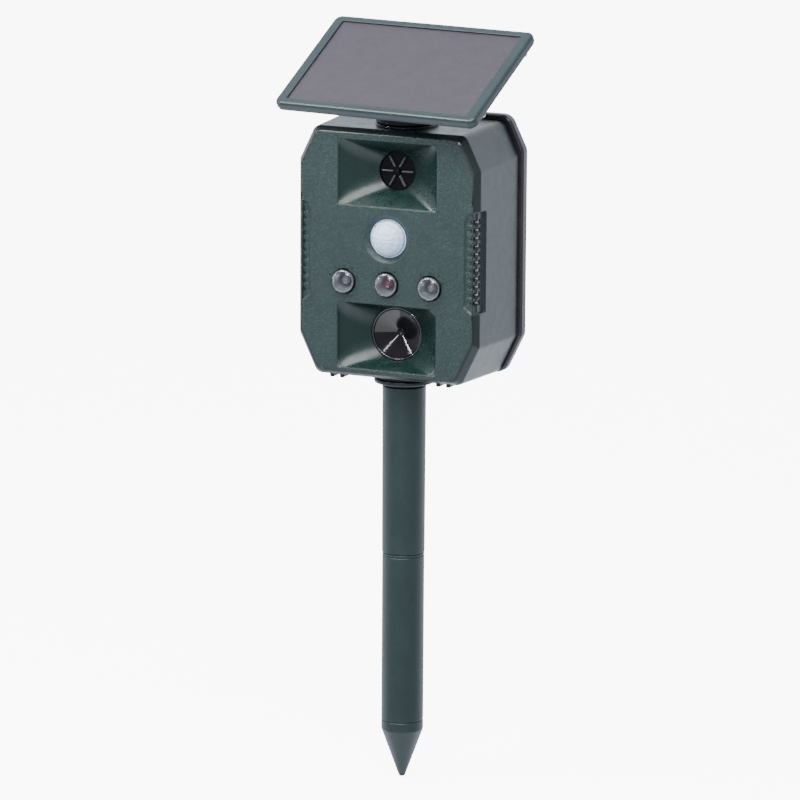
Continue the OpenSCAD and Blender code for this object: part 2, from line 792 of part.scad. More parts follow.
lower_tube();
spike_tip();
tube_coupler();
upper_tube();
stake_socket();
socket_screws();
front_housing();
rear_cover();
housing_seal();
housing_screws();
upper_tweeter();
tweeter_fins();
lower_tweeter();
speaker_cone();
speaker_bezel();
speaker_screws();
motion_lens();
motion_sensor();
led_lens_left();
led_lens_middle();
led_lens_right();
led_reflector_left();
led_reflector_middle();
led_reflector_right();
led_left();
led_middle();
led_right();
main_circuit_board();
main_board_screws();
control_board();
control_board_screws();
frequency_potentiometer();
sensitivity_potentiometer();
frequency_dial();
sensitivity_dial();
switch_housing();
power_switch();
charge_socket();
port_cover();
battery_holder();
batteries();
battery_contacts();
battery_cover();
battery_cover_screws();
swivel_base();
swivel_washer();
swivel_screw();
hinge_bolt();
hinge_nut();
panel_back();
panel_frame();
solar_cell();
panel_screws();
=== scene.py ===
"""Looks of a solar garden pest repeller on a stake.

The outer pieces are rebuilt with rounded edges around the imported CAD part, and the rest keep their
CAD meshes under procedural finishes. Lengths are in millimetres until piece() turns them to metres.
"""

import json
from math import asin, cos, hypot, pi, radians, sin, tan

import bmesh
import bpy
from mathutils import Matrix, Vector
from mathutils.geometry import delaunay_2d_cdt

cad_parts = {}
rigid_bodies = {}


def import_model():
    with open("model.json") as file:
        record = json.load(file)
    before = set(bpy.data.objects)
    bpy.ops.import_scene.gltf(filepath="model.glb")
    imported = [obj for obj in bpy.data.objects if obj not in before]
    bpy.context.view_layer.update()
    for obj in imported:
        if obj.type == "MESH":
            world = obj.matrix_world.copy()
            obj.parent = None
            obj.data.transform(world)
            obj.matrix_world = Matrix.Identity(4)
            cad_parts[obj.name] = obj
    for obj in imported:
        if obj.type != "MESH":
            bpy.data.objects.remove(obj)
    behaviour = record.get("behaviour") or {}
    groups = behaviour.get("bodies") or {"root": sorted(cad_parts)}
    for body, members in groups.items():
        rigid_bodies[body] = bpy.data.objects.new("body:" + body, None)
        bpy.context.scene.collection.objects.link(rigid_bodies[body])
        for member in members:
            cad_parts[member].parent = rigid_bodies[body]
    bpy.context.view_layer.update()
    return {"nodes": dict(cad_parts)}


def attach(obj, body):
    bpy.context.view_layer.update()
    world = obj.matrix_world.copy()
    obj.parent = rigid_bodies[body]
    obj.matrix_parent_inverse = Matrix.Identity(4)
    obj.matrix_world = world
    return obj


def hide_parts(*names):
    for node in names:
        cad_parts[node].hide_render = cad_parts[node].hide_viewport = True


MM = 0.001

# Housing
BODY_HALF_W, BODY_BOTTOM, BODY_TOP = 53.2, 102.4, 238.8
FACE_Y, SEAM_Y, INSIDE_Y = -25.0, 27.5, -22.6
DRAFT, BEVEL_W, BEVEL_D = 1.6, 2.3, 4.0
TOP_CUT, BOTTOM_CUT, CORNER_R = (9.0, 18.8), (10.5, 21.7), 5.0
SHELL_T = 1.5

# Speakers; a horn's corners grow from MOUTH_CORNER_R to the round throat
MOUTH_HALF_W, MOUTH_CORNER_R, THROAT_Y, FLANGE_Y = 29.0, 1.2, -11.0, -8.8
UPPER_HORN = {"z": 215.0, "half_h": 18.0, "throat_r": 10.6}
LOWER_HORN = {"z": 125.5, "half_h": 18.1, "throat_r": 14.9}
CONE_R = LOWER_HORN["throat_r"] - 1.1

# Sensor and lights
SENSOR_Z, SENSOR_R, SENSOR_H, SENSOR_RING_R, FACET_DEPTH = 180.0, 9.9, 7.4, 13.0, 0.45
LED_Z, LED_PITCH, LED_R, LED_WALL, LED_DOME_H = 155.1, 25.3, 6.7, 1.6, 2.4
CUP_R, CUP_NECK_R, BULB_R = 5.6, 2.6, 2.5

# Finger grips, each sunk into a finely divided patch of the housing's front corner
GRIP_Z, GRIP_FACE_X, GRIP_BACK_Y = (142.4, 198.4), 45.0, -13.0
GRIP_FACE_DEPTH, GRIP_SIDE_DEPTH, GRIP_WALL_W = 1.0, 1.8, 1.3
GRIP_INNER_CORNER_R, GRIP_OUTER_CORNER_R = 6.5, 1.2
PATCH_X, PATCH_Z, PATCH_STEP_X, PATCH_STEP_Z = 43.0, (139.0, 202.0), 0.4, 0.3
GROOVES, GROOVE_PITCH, GROOVE_R, GROOVE_D = 11, 4.4, 1.85, 0.85
GROOVE_START_X, GROOVE_RUN_IN = 46.8, 5.0

# Depth of the grained front surface behind the face
GRAIN_EDGE = 0.12

# Rear cover
COVER_Y, BACK_Y = 28.3, 36.0
COVER_HALF_W, COVER_BOTTOM, COVER_TOP = 57.0, 100.6, 243.3
HOUSING_SCREWS = [(38, 226), (49, 171), (38, 114)]
DIAL_X, DIAL_Z, DIAL_R, DIAL_SHAFT_R = 24.0, 208.0, 9.0, 3.0
SWITCH_X, PORT_X, CONTROL_Z = -13.0, 13.0, 189.0
DOOR_Z, DOOR_HALF_W, DOOR_HALF_H, DOOR_SCREW_X = 138.0, 26.0, 30.0, 22.0

# Stake
LOWER_R, UPPER_R, BORE_R, SPIGOT_R = 11.65, 12.0, 10.0, 9.95
TIP_Z, TIP_SHOULDER_Z, LOWER_END_Z = -126.7, -98.9, -93.2
COUPLER_T, UPPER_TOP = 2.0, 95.3
FLANGE_R, FLANGE_Z, SOCKET_TOP = 16.6, 97.2, 99.6

# Hinge and panel
HINGE_Y, HINGE_Z, SEAT_Z = 2.0, 259.6, 239.9
SWIVEL_R, SHAFT_R, SHAFT_LOW = 17.0, 5.0, 233.2
EAR_R, EAR_T, KNUCKLE_HALF_W, BOLT_R = 5.2, 4.2, 5.8, 2.5
PANEL_W, PANEL_D, PANEL_TILT, PANEL_TURN = 125.2, 77.4, 31.4, -7.2
PANEL_BACK_Z, PANEL_BACK_T, FRAME_T, RIM_W, SIDE_RIM_W = 6.0, 1.4, 4.2, 4.8, 6.4
PANEL_CENTRE_Y, PANEL_CORNER_R, CELL_RECESS = 1.8, 4.5, 1.0

# Camera
CAMERA_AZIMUTH, CAMERA_ELEVATION, CAMERA_ROLL = 23.8, 12.2, 0.352
CAMERA_DISTANCE, CAMERA_SHIFT, CAMERA_AIM_Z, CAMERA_LENS = 2732.24, -2.3104, 86.6367, 225.0


# ---------- points and outlines ----------

def softened(points, radii, steps=4, closed=True):
    """Rounds the corners of a flat line; radii is one radius, or one for each point."""
    count = len(points)
    if not hasattr(radii, "__len__"):
        radii = [radii] * count
    made = []
    for i, point in enumerate(points):
        here = Vector(point)
        if radii[i] == 0 or (not closed and i in (0, count - 1)):
            made.append(here)
            continue
        back = (Vector(points[i - 1]) - here).normalized()
        on = (Vector(points[(i + 1) % count]) - here).normalized()
        half = back.angle(on) / 2
        centre = here + (back + on).normalized() * radii[i] / sin(half)
        start = here + back * radii[i] / tan(half) - centre
        turn = start.angle_signed(here + on * radii[i] / tan(half) - centre)
        for k in range(steps + 1):
            made.append(centre + Matrix.Rotation(-turn * k / steps, 2) @ start)
    return made


def rounded_line(corners, steps=4, closed=False):
    """Flat line through (x, y, radius) corners, each rounded by its own radius."""
    return softened([c[:2] for c in corners], [c[2] for c in corners], steps, closed)


def rotated(flat, degrees, centre=(0, 0)):
    """Turns a flat outline about the origin, then moves it to the centre."""
    turn = Matrix.Rotation(radians(degrees), 2)
    return [turn @ Vector(p) + Vector(centre) for p in flat]


def octagon(half_w, bottom, top, grow):
    """Housing outline in X and Z before its corners are rounded."""
    x, low, high = half_w + grow, bottom - grow, top + grow
    top_x, top_z = x - TOP_CUT[0], high - TOP_CUT[1]
    low_x, low_z = x - BOTTOM_CUT[0], low + BOTTOM_CUT[1]
    right = [(low_x, low), (x, low_z), (x, top_z), (top_x, high)]
    return right + [(-px, pz) for px, pz in reversed(right)]


def body_outline(grow):
    return softened(octagon(BODY_HALF_W, BODY_BOTTOM, BODY_TOP, grow), CORNER_R, 5)


def cover_outline(grow):
    return softened(octagon(COVER_HALF_W, COVER_BOTTOM, COVER_TOP, grow), CORNER_R + 2, 6)


def rectangle(x, z, half_w, half_h, radius, steps=4):
    corners = ((-half_w, -half_h), (half_w, -half_h), (half_w, half_h), (-half_w, half_h))
    return softened([(x + across, z + up) for across, up in corners], radius, steps)


def circle(x, z, radius, steps=64):
    turns = [2 * pi * i / steps for i in range(steps)]
    return [Vector((x + radius * cos(a), z + radius * sin(a))) for a in turns]


def inset(outline, distance):
    """Moves every point of a closed anticlockwise outline inwards."""
    made = []
    for i, point in enumerate(outline):
        along = (outline[(i + 1) % len(outline)] - outline[i - 1]).normalized()
        made.append(point + Vector((-along.y, along.x)) * distance)
    return made


def contains(outline, point):
    found = False
    for i, a in enumerate(outline):
        b = outline[i - 1]
        if (a[1] > point[1]) != (b[1] > point[1]):
            if point[0] < (b[0] - a[0]) * (point[1] - a[1]) / (b[1] - a[1]) + a[0]:
                found = not found
    return found


def smooth(value):
    value = min(1.0, max(0.0, value))
    return value * value * (3 - 2 * value)


def spaced(low, high, step):
    """Evenly spaced values from low to high, both included."""
    count = max(1, round((high - low) / step))
    return [low + (high - low) * i / count for i in range(count + 1)]


# ---------- meshes ----------

UPRIGHT = Matrix.Identity(4)


def along_y(x=0.0, z=0.0):
    """Places a flat shape so that its third axis is the object's Y."""
    return Matrix(((1, 0, 0, x), (0, 0, 1, 0), (0, 1, 0, z), (0, 0, 0, 1)))


FLAT_IN_XZ = along_y()


def along_x(y=0.0, z=0.0):
    """Places a flat shape so that its third axis is the object's X."""
    return Matrix(((0, 0, 1, 0), (1, 0, 0, y), (0, 1, 0, z), (0, 0, 0, 1)))


def at_swivel():
    return Matrix.Translation((0, HINGE_Y, 0)) @ Matrix.Rotation(radians(PANEL_TURN), 4, "Z")


def at_panel():
    return (at_swivel() @ Matrix.Translation((0, 0, HINGE_Z))
            @ Matrix.Rotation(radians(PANEL_TILT), 4, "X"))


class Shape:
    """Points and faces of one piece; paint is the number of a face's finish."""

    def __init__(self):
        self.points = []
        self.faces = []
        self.paints = []

    def row(self, points, place=UPRIGHT):
        first = len(self.points)
        self.points += [tuple(place @ Vector(p)) for p in points]
        return list(range(first, len(self.points)))

    def ring(self, outline, height, place=FLAT_IN_XZ):
        return self.row([(p[0], p[1], height) for p in outline], place)

    def face(self, corners, paint=0):
        self.faces.append(tuple(corners))
        self.paints.append(paint)

    def bridge(self, a, b, paint=0, closed=True):
        """Joins two rows; a row of one point makes a fan."""
        count = max(len(a), len(b))
        for i in range(count if closed else count - 1):
            j = (i + 1) % count
            if len(a) == 1:
                self.face((a[0], b[j], b[i]), paint)
            elif len(b) == 1:
                self.face((a[i], a[j], b[0]), paint)
            else:
                self.face((a[i], a[j], b[j], b[i]), paint)

    def loft(self, rows, paint=0, closed=True):
        for a, b in zip(rows, rows[1:]):
            self.bridge(a, b, paint, closed)

    def spin(self, profile, place=UPRIGHT, steps=96, paint=0, closed=False):
        """Turns a line of (radius, height) points about the third axis."""
        turns = [2 * pi * i / steps for i in range(steps)]
        rows = []
        for radius, height in profile:
            if radius < 1e-6:
                rows.append(self.row([(0, 0, height)], place))
            else:
                rows.append(self.row([(radius * cos(a), radius * sin(a), height)
                                      for a in turns], place))
        self.loft(rows + rows[:1] if closed else rows, paint)

    def prism(self, outline, low, high, edge, place=FLAT_IN_XZ, paint=0, steps=3):
        """Flat shape between two heights, with both rims rounded."""
        rows = []
        arcs = [pi / 2 * k / steps for k in range(steps + 1)]
        levels = [(edge * (1 - sin(a)), low + edge * (1 - cos(a))) for a in arcs]
        levels += [(d, high - (h - low)) for d, h in reversed(levels)]
        for distance, height in levels:
            rows.append(self.ring(inset(outline, distance), height, place))
        self.loft(rows, paint)
        self.face(rows[0], paint)
        self.face(rows[-1], paint)

    def plate(self, loops, height, place=FLAT_IN_XZ, paint=0):
        """Flat area between an outer loop and the holes in it."""
        flat = [Vector(p) for loop in loops for p in loop]
        edges = []
        first = 0
        for loop in loops:
            count = len(loop)
            edges += [(first + i, first + (i + 1) % count) for i in range(count)]
            first += count
        points, _, faces, _, _, _ = delaunay_2d_cdt(flat, edges, [], 1, 1e-5)
        row = self.ring(points, height, place)
        for face in faces:
            middle = sum((points[i] for i in face), Vector((0, 0))) / len(face)
            if sum(contains(loop, middle) for loop in loops) == 1:
                self.face([row[i] for i in face], paint)

    def walls(self, loops_at, place=FLAT_IN_XZ, paint=0, floor=None):
        """Side walls through (loop, height) levels; floor is the paint of a closed far end."""
        rows = [self.ring(loop, height, place) for loop, height in loops_at]
        self.loft(rows, paint)
        if floor is not None:
            self.face(rows[-1], floor)


def added(name, data):
    """New object in the scene."""
    made = bpy.data.objects.new(name, data)
    bpy.context.scene.collection.objects.link(made)
    return made


def piece(name, shape, body, finishes, stands_for=(), slot=None, sharp=38, shell=0.0):
    """Turns a shape into an object that rides on a body and stands for CAD nodes."""
    mesh = bpy.data.meshes.new(name)
    mesh.from_pydata([[c * MM for c in p] for p in shape.points], [], shape.faces)
    for face, paint in zip(mesh.polygons, shape.paints):
        face.material_index = paint
    for finish in finishes:
        mesh.materials.append(finish)
    work = bmesh.new()
    work.from_mesh(mesh)
    bmesh.ops.remove_doubles(work, verts=work.verts, dist=2e-6)
    bmesh.ops.recalc_face_normals(work, faces=work.faces)
    work.to_mesh(mesh)
    work.free()
    mesh.shade_smooth()
    mesh.set_sharp_from_angle(angle=radians(sharp))
    made = added(name, mesh)
    if shell:
        thick = made.modifiers.new("shell", "SOLIDIFY")
        thick.thickness = shell * MM
        thick.offset = -1
    weighted = made.modifiers.new("weighted", "WEIGHTED_NORMAL")
    weighted.keep_sharp = True
    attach(made, body)
    if stands_for:
        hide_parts(*stands_for)
    return made


def skin(node, shape, finishes, slot, body="head", **settings):
    """A piece that stands for one CAD node and is named after it."""
    return piece(node + "_skin", shape, body, finishes, [node], slot, **settings)


def turned(profile, place=UPRIGHT, steps=96, closed=False):
    """Shape made by one turned profile."""
    shape = Shape()
    shape.spin(profile, place, steps, closed=closed)
    return shape


# ---------- finishes ----------

RANGE_SOCKETS = ("From Min", "From Max", "To Min", "To Max")


class Finish:
    """One procedural material, built from small steps on the object's own coordinates."""

    def __init__(self, name, roughness=0.5, **settings):
        self.material = bpy.data.materials.new(name)
        self.material.use_nodes = True
        self.tree = self.material.node_tree
        self.link = self.tree.links.new
        self.surface = self.tree.nodes["Principled BSDF"]
        self.surface.inputs["Roughness"].default_value = roughness
        for socket, value in settings.items():
            self.surface.inputs[socket.replace("_", " ")].default_value = value
        self.place = self.tree.nodes.new("ShaderNodeTexCoord").outputs["Object"]

    def node(self, kind, links=(), **values):
        made = self.tree.nodes.new(kind)
        for name, value in values.items():
            made.inputs[name.replace("_", " ")].default_value = value
        for source, target in links:
            self.link(source, made.inputs[target])
        return made

    def noise(self, size, detail=2.0):
        """Noise whose blotches are about size millimetres across."""
        made = self.node("ShaderNodeTexNoise", [(self.place, "Vector")],
                         Scale=1 / (size * MM), Detail=detail)
        return made.outputs["Fac"]

    def span(self, source, low, high, start=0.3, end=0.7):
        """Maps a value that runs from start to end onto low to high."""
        made = self.node("ShaderNodeMapRange", [(source, "Value")])
        for socket, value in zip(RANGE_SOCKETS, (start, end, low, high)):
            made.inputs[socket].default_value = value
        return made.outputs["Result"]

    def blend(self, factor, dark, light):
        made = self.node("ShaderNodeMix")
        made.data_type = "RGBA"
        self.link(factor, made.inputs["Factor"])
        for socket, value in (("A", dark), ("B", light)):
            target = [s for s in made.inputs if s.name == socket and s.type == "RGBA"][0]
            if isinstance(value, tuple):
                target.default_value = (*value, 1)
            else:
                self.link(value, target)
        return [s for s in made.outputs if s.type == "RGBA"][0]

    def colour(self, source):
        if isinstance(source, tuple):
            self.surface.inputs["Base Color"].default_value = (*source, 1)
        else:
            self.link(source, self.surface.inputs["Base Color"])

    def rough(self, source):
        self.link(source, self.surface.inputs["Roughness"])

    def bump(self, source, depth):
        """Relief of about depth millimetres."""
        made = self.node("ShaderNodeBump", [(source, "Height")], Distance=depth * MM)
        self.link(made.outputs["Normal"], self.surface.inputs["Normal"])


def scaled(colour, factor):
    return tuple(min(1.0, c * factor) for c in colour)


def plastic(name, colour, roughness, grain=0.0, depth=0.0, speck=0.0, **settings):
    """Moulded plastic: cloudy tint, uneven gloss, and a grain of that size and depth."""
    made = Finish(name, roughness, **settings)
    cloud = made.blend(made.span(made.noise(22, 3), 0, 1), scaled(colour, 0.9), scaled(colour, 1.1))
    if speck:
        flecks = made.span(made.noise(grain * 0.8, 1.5), 0, speck, 0.52, 0.72)
        cloud = made.blend(flecks, cloud, scaled(colour, 2.6))
    made.colour(cloud)
    made.rough(made.span(made.noise(6, 4), roughness - 0.04, roughness + 0.05))
    if grain:
        made.bump(made.noise(grain, 2), depth)
    return made.material


def metal(name, colour, roughness, wear=0.3):
    """Bare or plated metal, its gloss uneven by the share given as wear."""
    made = Finish(name, roughness, Metallic=1.0)
    made.colour(made.blend(made.noise(3, 3), scaled(colour, 0.85), scaled(colour, 1.1)))
    made.rough(made.span(made.noise(0.8, 4), roughness * (1 - wear), roughness * (1 + wear)))
    return made.material


def clear(name, colour, roughness):
    """Thin clear moulding: see-through from in front, mirror-like towards its edges."""
    made = Finish(name, roughness, Metallic=1.0)
    made.colour(made.blend(made.noise(4, 2), scaled(colour, 0.9), colour))
    tilt = made.node("ShaderNodeLayerWeight", Blend=0.5).outputs["Facing"]
    made.link(made.span(tilt, 0.05, 0.7, 0.5, 1.0), made.surface.inputs["Alpha"])
    return made.material


def lens_milk():
    """Milky plastic that lets some light through."""
    made = Finish("lens_milk", 0.22, Subsurface_Weight=0.25, Subsurface_Scale=0.002)
    made.colour(made.blend(made.noise(5, 2), (0.52, 0.64, 0.84), (0.62, 0.75, 0.95)))
    made.rough(made.span(made.noise(2, 3), 0.18, 0.28))
    return made.material


def solar_film():
    """Matte laminated cells with fine lines and a blotchy tint."""
    made = Finish("solar_film", 0.5, Specular_IOR_Level=0.35)
    wave = made.node("ShaderNodeTexWave", [(made.place, "Vector")],
                     Scale=170, Distortion=0.4, Detail=1.0)
    wave.bands_direction = "X"
    lines = made.span(wave.outputs["Fac"], 0, 1, 0.75, 1.0)
    blotch = made.blend(made.span(made.noise(7, 3), 0, 1), (0.035, 0.028, 0.037), (0.039, 0.036, 0.046))
    made.colour(made.blend(lines, blotch, (0.046, 0.040, 0.049)))
    made.rough(made.span(made.noise(9, 3), 0.44, 0.56))
    made.bump(made.noise(0.5, 2), 0.006)
    return made.material


def board_green():
    """Lacquered board with faint tracks."""
    made = Finish("board_green", 0.35)
    tracks = made.node("ShaderNodeTexBrick", [(made.place, "Vector")], Scale=120)
    made.colour(made.blend(made.span(tracks.outputs["Fac"], 0, 1, 0, 1),
                           (0.01, 0.09, 0.035), (0.02, 0.15, 0.06)))
    return made.material


BLACK = (0.008, 0.008, 0.010)

face_green = plastic("face_green", (0.012, 0.025, 0.024), 0.46, grain=1.1, depth=0.40, speck=0.4)
side_green = plastic("side_green", (0.007, 0.013, 0.013), 0.30)
# Darker copy of the housing green for the horn walls, light seats and ray-mark slots: painted shade in
# these recesses; only their smoother gloss is real.
recess_shade_green = plastic("recess_shade_green", (0.005, 0.017, 0.015), 0.28)
stake_green = plastic("stake_green", (0.013, 0.025, 0.025), 0.36)
frame_green = plastic("frame_green", (0.012, 0.024, 0.026), 0.32)
rear_black = plastic("rear_black", (0.018, 0.015, 0.021), 0.33)
soft_black = plastic("soft_black", BLACK, 0.6, grain=0.4, depth=0.01)
knob_black = plastic("knob_black", BLACK, 0.38, grain=0.5, depth=0.015)
hinge_black = plastic("hinge_black", (0.010, 0.012, 0.013), 0.45, grain=0.6, depth=0.01)
# Lighter grey copy of the tweeter's black, used on its fins as a painted highlight.
fin_painted_highlight = plastic("fin_painted_highlight", (0.080, 0.076, 0.084), 0.3)
fin_black = plastic("fin_black", (0.003, 0.003, 0.004), 0.3, Specular_IOR_Level=0.15)
dark_ring = metal("dark_ring", (0.14, 0.14, 0.15), 0.16)
cone_black = plastic("cone_black", (0.004, 0.003, 0.005), 0.09, Specular_IOR_Level=0.36)
mark_white = plastic("mark_white", (0.62, 0.64, 0.62), 0.5)
steel = metal("steel", (0.62, 0.63, 0.65), 0.28)
chrome = metal("chrome", (0.44, 0.45, 0.48), 0.30, wear=0.05)
rim_grey = plastic("rim_grey", (0.10, 0.11, 0.12), 0.45)
cell_wrap = plastic("cell_wrap", (0.05, 0.16, 0.09), 0.3)
lens_white = lens_milk()
led_clear = clear("led_clear", (0.80, 0.83, 0.88), 0.15)
bulb_clear = plastic("bulb_clear", (0.10, 0.10, 0.12), 0.12)
bulb_red = plastic("bulb_red", (0.10, 0.015, 0.022), 0.12)
film = solar_film()
board = board_green()

# ---------- stake ----------

def tube(name, low, high, low_r, high_r, body):
    profile = softened([(BORE_R, low), (low_r, low), (high_r, high), (BORE_R, high)], 0.45, 3)
    skin(name, turned(profile, closed=True), [stake_green], "stake_plastic", body)


def spike():
    """Pointed tip with a plug that fills the end of the lower tube."""
    blunt_r, neck_r, end = 1.6, LOWER_R - 0.55, LOWER_END_Z
    line = rounded_line([
        (0, TIP_Z, 0), (blunt_r, TIP_Z, 1.2), (LOWER_R, TIP_SHOULDER_Z, 3), (LOWER_R, end - 0.8, 0.35),
        (neck_r, end - 0.6, 0.1), (neck_r, end, 0.1), (SPIGOT_R, end, 0.1), (SPIGOT_R, end + 10, 0.6),
        (0, end + 10, 0)
    ])
    skin("spike_tip", turned(line), [stake_green], "stake_plastic", "ground_stake")


def coupler():
    """Sleeve inside both tubes, with a thin collar and a fine rib between them."""
    bore_r, collar_r, rib_r = SPIGOT_R - 2, LOWER_R - 0.35, LOWER_R - 0.05
    low, high, collar_top = -14, 20, COUPLER_T - 0.3
    line = rounded_line([
        (bore_r, low, 0.3), (SPIGOT_R, low, 0.6), (SPIGOT_R, 0.02, 0.1), (collar_r, 0.02, 0.1),
        (collar_r, 0.35, 0.1), (rib_r, 0.5, 0.15), (rib_r, 1.3, 0.15), (collar_r, 1.45, 0.1),
        (collar_r, collar_top, 0.1), (SPIGOT_R, collar_top, 0.1), (SPIGOT_R, high, 0.6),
        (bore_r, high, 0.3)
    ], 3, closed=True)
    skin("tube_coupler", turned(line, closed=True), [stake_green], "stake_plastic", "ground_stake")


def socket():
    """Plug that drops into the upper tube, under a round flange."""
    bore_r, neck_r, step_r = SPIGOT_R - 2.2, 10.9, UPPER_R - 0.2
    low, step_low, bore_top = 78, UPPER_TOP + 0.3, 96
    line = rounded_line([
        (0, bore_top, 0), (bore_r, bore_top, 0.5), (bore_r, low, 0.3), (SPIGOT_R, low, 0.6),
        (SPIGOT_R, step_low, 0.1), (neck_r, step_low, 0.1), (neck_r, step_low + 0.6, 0.1),
        (step_r, step_low + 0.8, 0.3), (step_r, FLANGE_Z, 0.3), (FLANGE_R, FLANGE_Z, 0.7),
        (FLANGE_R, SOCKET_TOP, 0.7), (0, SOCKET_TOP, 0)
    ])
    skin("stake_socket", turned(line), [stake_green], "stake_plastic")


# ---------- front housing ----------

def housing_section():
    """(grow, y) levels from the flat face round the bevel and back to the seam."""
    line = rounded_line([
        (-8, FACE_Y, 0), (-BEVEL_W, FACE_Y, 1.7), (0, FACE_Y + BEVEL_D, 2.4), (DRAFT, SEAM_Y, 0.5),
        (DRAFT - 1.4, SEAM_Y, 0)
    ], 5)[1:]
    fine, wide, wide_from = 0.5, 8, GRIP_BACK_Y + 1
    made = [line[0]]
    for a, b in zip(line, line[1:]):
        stops = [(b, fine if b.y <= wide_from else wide)]
        if a.y < wide_from < b.y:
            share = (wide_from + 1 - a.y) / (b.y - a.y)
            stops.insert(0, (a.lerp(b, share), fine))
        for stop, step in stops:
            pieces = max(1, round((stop - a).length / step))
            made += [a.lerp(stop, k / pieces) for k in range(1, pieces + 1)]
            a = stop
    return made


def with_grip_stops(outline):
    """Splits the upright sides of the outline where the grip patches start and end.

    Known flaw: at some levels rounding bends the left side by more than the tolerance of 1e-6, so it
    stays in one piece there and a plain skin covers the left grip.
    """
    longest_chamfer = 60
    made = []
    for i, point in enumerate(outline):
        made.append(point)
        following = outline[(i + 1) % len(outline)]
        upright = abs(point.x - following.x) < 1e-6 and abs(point.y - following.y) > longest_chamfer
        if upright:
            stops = PATCH_Z if following.y > point.y else PATCH_Z[::-1]
            made += [Vector((point.x, stop)) for stop in stops]
    return made


def grip_depth(along, z, marks):
    """How far the skin is sunk at one point of a grip patch."""
    middle_u = (marks["start"] + marks["end"]) / 2
    half_u = (marks["end"] - marks["start"]) / 2
    middle_z = sum(GRIP_Z) / 2
    half_z = (GRIP_Z[1] - GRIP_Z[0]) / 2
    corner = GRIP_INNER_CORNER_R if along < middle_u else GRIP_OUTER_CORNER_R
    u = abs(along - middle_u) - half_u + corner
    v = abs(z - middle_z) - half_z + corner
    outside = hypot(max(u, 0), max(v, 0)) + min(max(u, v), 0) - corner
    past_edge = smooth((along - marks["edge"]) / 4)
    full = GRIP_FACE_DEPTH + (GRIP_SIDE_DEPTH - GRIP_FACE_DEPTH) * past_edge
    depth = full * smooth(-outside / GRIP_WALL_W)
    last = GROOVES // 2
    nearest = max(-last, min(last, round((z - middle_z) / GROOVE_PITCH)))
    off_z = z - middle_z - nearest * GROOVE_PITCH
    off_u = max(marks["groove_start"] - along, along - marks["groove_end"], 0)
    distance = hypot(off_u, off_z) / GROOVE_R
    if distance < 1:
        rise = 0.2 + 0.8 * smooth((along - marks["groove_start"]) / GROOVE_RUN_IN)
        depth += GROOVE_D * rise * smooth(1 - distance)
    return depth


def grip_patch(shape, section, side):
    """Front corner of the housing with the sunk finger grip; side is 1 or -1."""
    edge_x = BODY_HALF_W + section[0].x
    line = [Vector((x, FACE_Y)) for x in spaced(PATCH_X, edge_x, PATCH_STEP_X)]
    line += [Vector((BODY_HALF_W + grow, y)) for grow, y in section[1:]]
    lengths = [0.0]
    for a, b in zip(line, line[1:]):
        lengths.append(lengths[-1] + (b - a).length)
    reach = [s for s, p in zip(lengths, line) if p.y <= GRIP_BACK_Y][-1]
    marks = {"start": GRIP_FACE_X - PATCH_X, "end": reach, "edge": edge_x - PATCH_X,
             "groove_start": GROOVE_START_X - PATCH_X, "groove_end": reach - 2.6}
    rows = []
    for z in spaced(*PATCH_Z, PATCH_STEP_Z):
        row = []
        for i, p in enumerate(line):
            along = (line[min(i + 1, len(line) - 1)] - line[max(i - 1, 0)]).normalized()
            depth = grip_depth(lengths[i], z, marks)
            at = p + Vector((-along.y, along.x)) * depth
            row.append((side * at.x, at.y, z))
        rows.append(shape.row(row))
    for a, b in zip(rows, rows[1:]):
        for i in range(len(line) - 1):
            on_face = line[i + 1].y < FACE_Y + GRAIN_EDGE
            shape.face((a[i], a[i + 1], b[i + 1], b[i]), 0 if on_face else 1)


def face_outline(section):
    """Edge of the flat face, stepping in around both grip patches."""
    edge = section[0].x
    steps_x = spaced(PATCH_X, BODY_HALF_W + edge, PATCH_STEP_X)
    steps_z = spaced(*PATCH_Z, PATCH_STEP_Z)
    made = []
    for point in with_grip_stops(body_outline(edge)):
        if point.y not in PATCH_Z:
            made.append(point)
            continue
        side = 1 if point.x > 0 else -1
        across = [Vector((side * x, point.y)) for x in steps_x]
        column = steps_z[::side]
        if point.y == column[0]:
            made += across[::-1] + [Vector((side * PATCH_X, z)) for z in column[1:-1]]
        else:
            made += across
    return made


def horn_outline(sizes, share, grow=0.0, steps=40):
    """Horn opening at a share of the way from the mouth (0) to the round throat (1)."""
    radius = sizes["throat_r"]
    half_w = MOUTH_HALF_W + grow + (radius - MOUTH_HALF_W) * share ** 1.25
    half_h = sizes["half_h"] + grow + (radius - sizes["half_h"]) * (1 - (1 - share) ** 1.5)
    corner = min(MOUTH_CORNER_R + grow + (radius - MOUTH_CORNER_R) * share ** 0.38, half_w, half_h)
    loop = []
    for way_x, way_z, start in ((1, 1, 0), (-1, 1, 1), (-1, -1, 2), (1, -1, 3)):
        for k in range(steps + 1):
            angle = pi / 2 * (start + k / steps)
            loop.append(Vector((way_x * (half_w - corner) + corner * cos(angle),
                                way_z * (half_h - corner) + corner * sin(angle))))
    return [p + Vector((0, sizes["z"])) for p in loop]


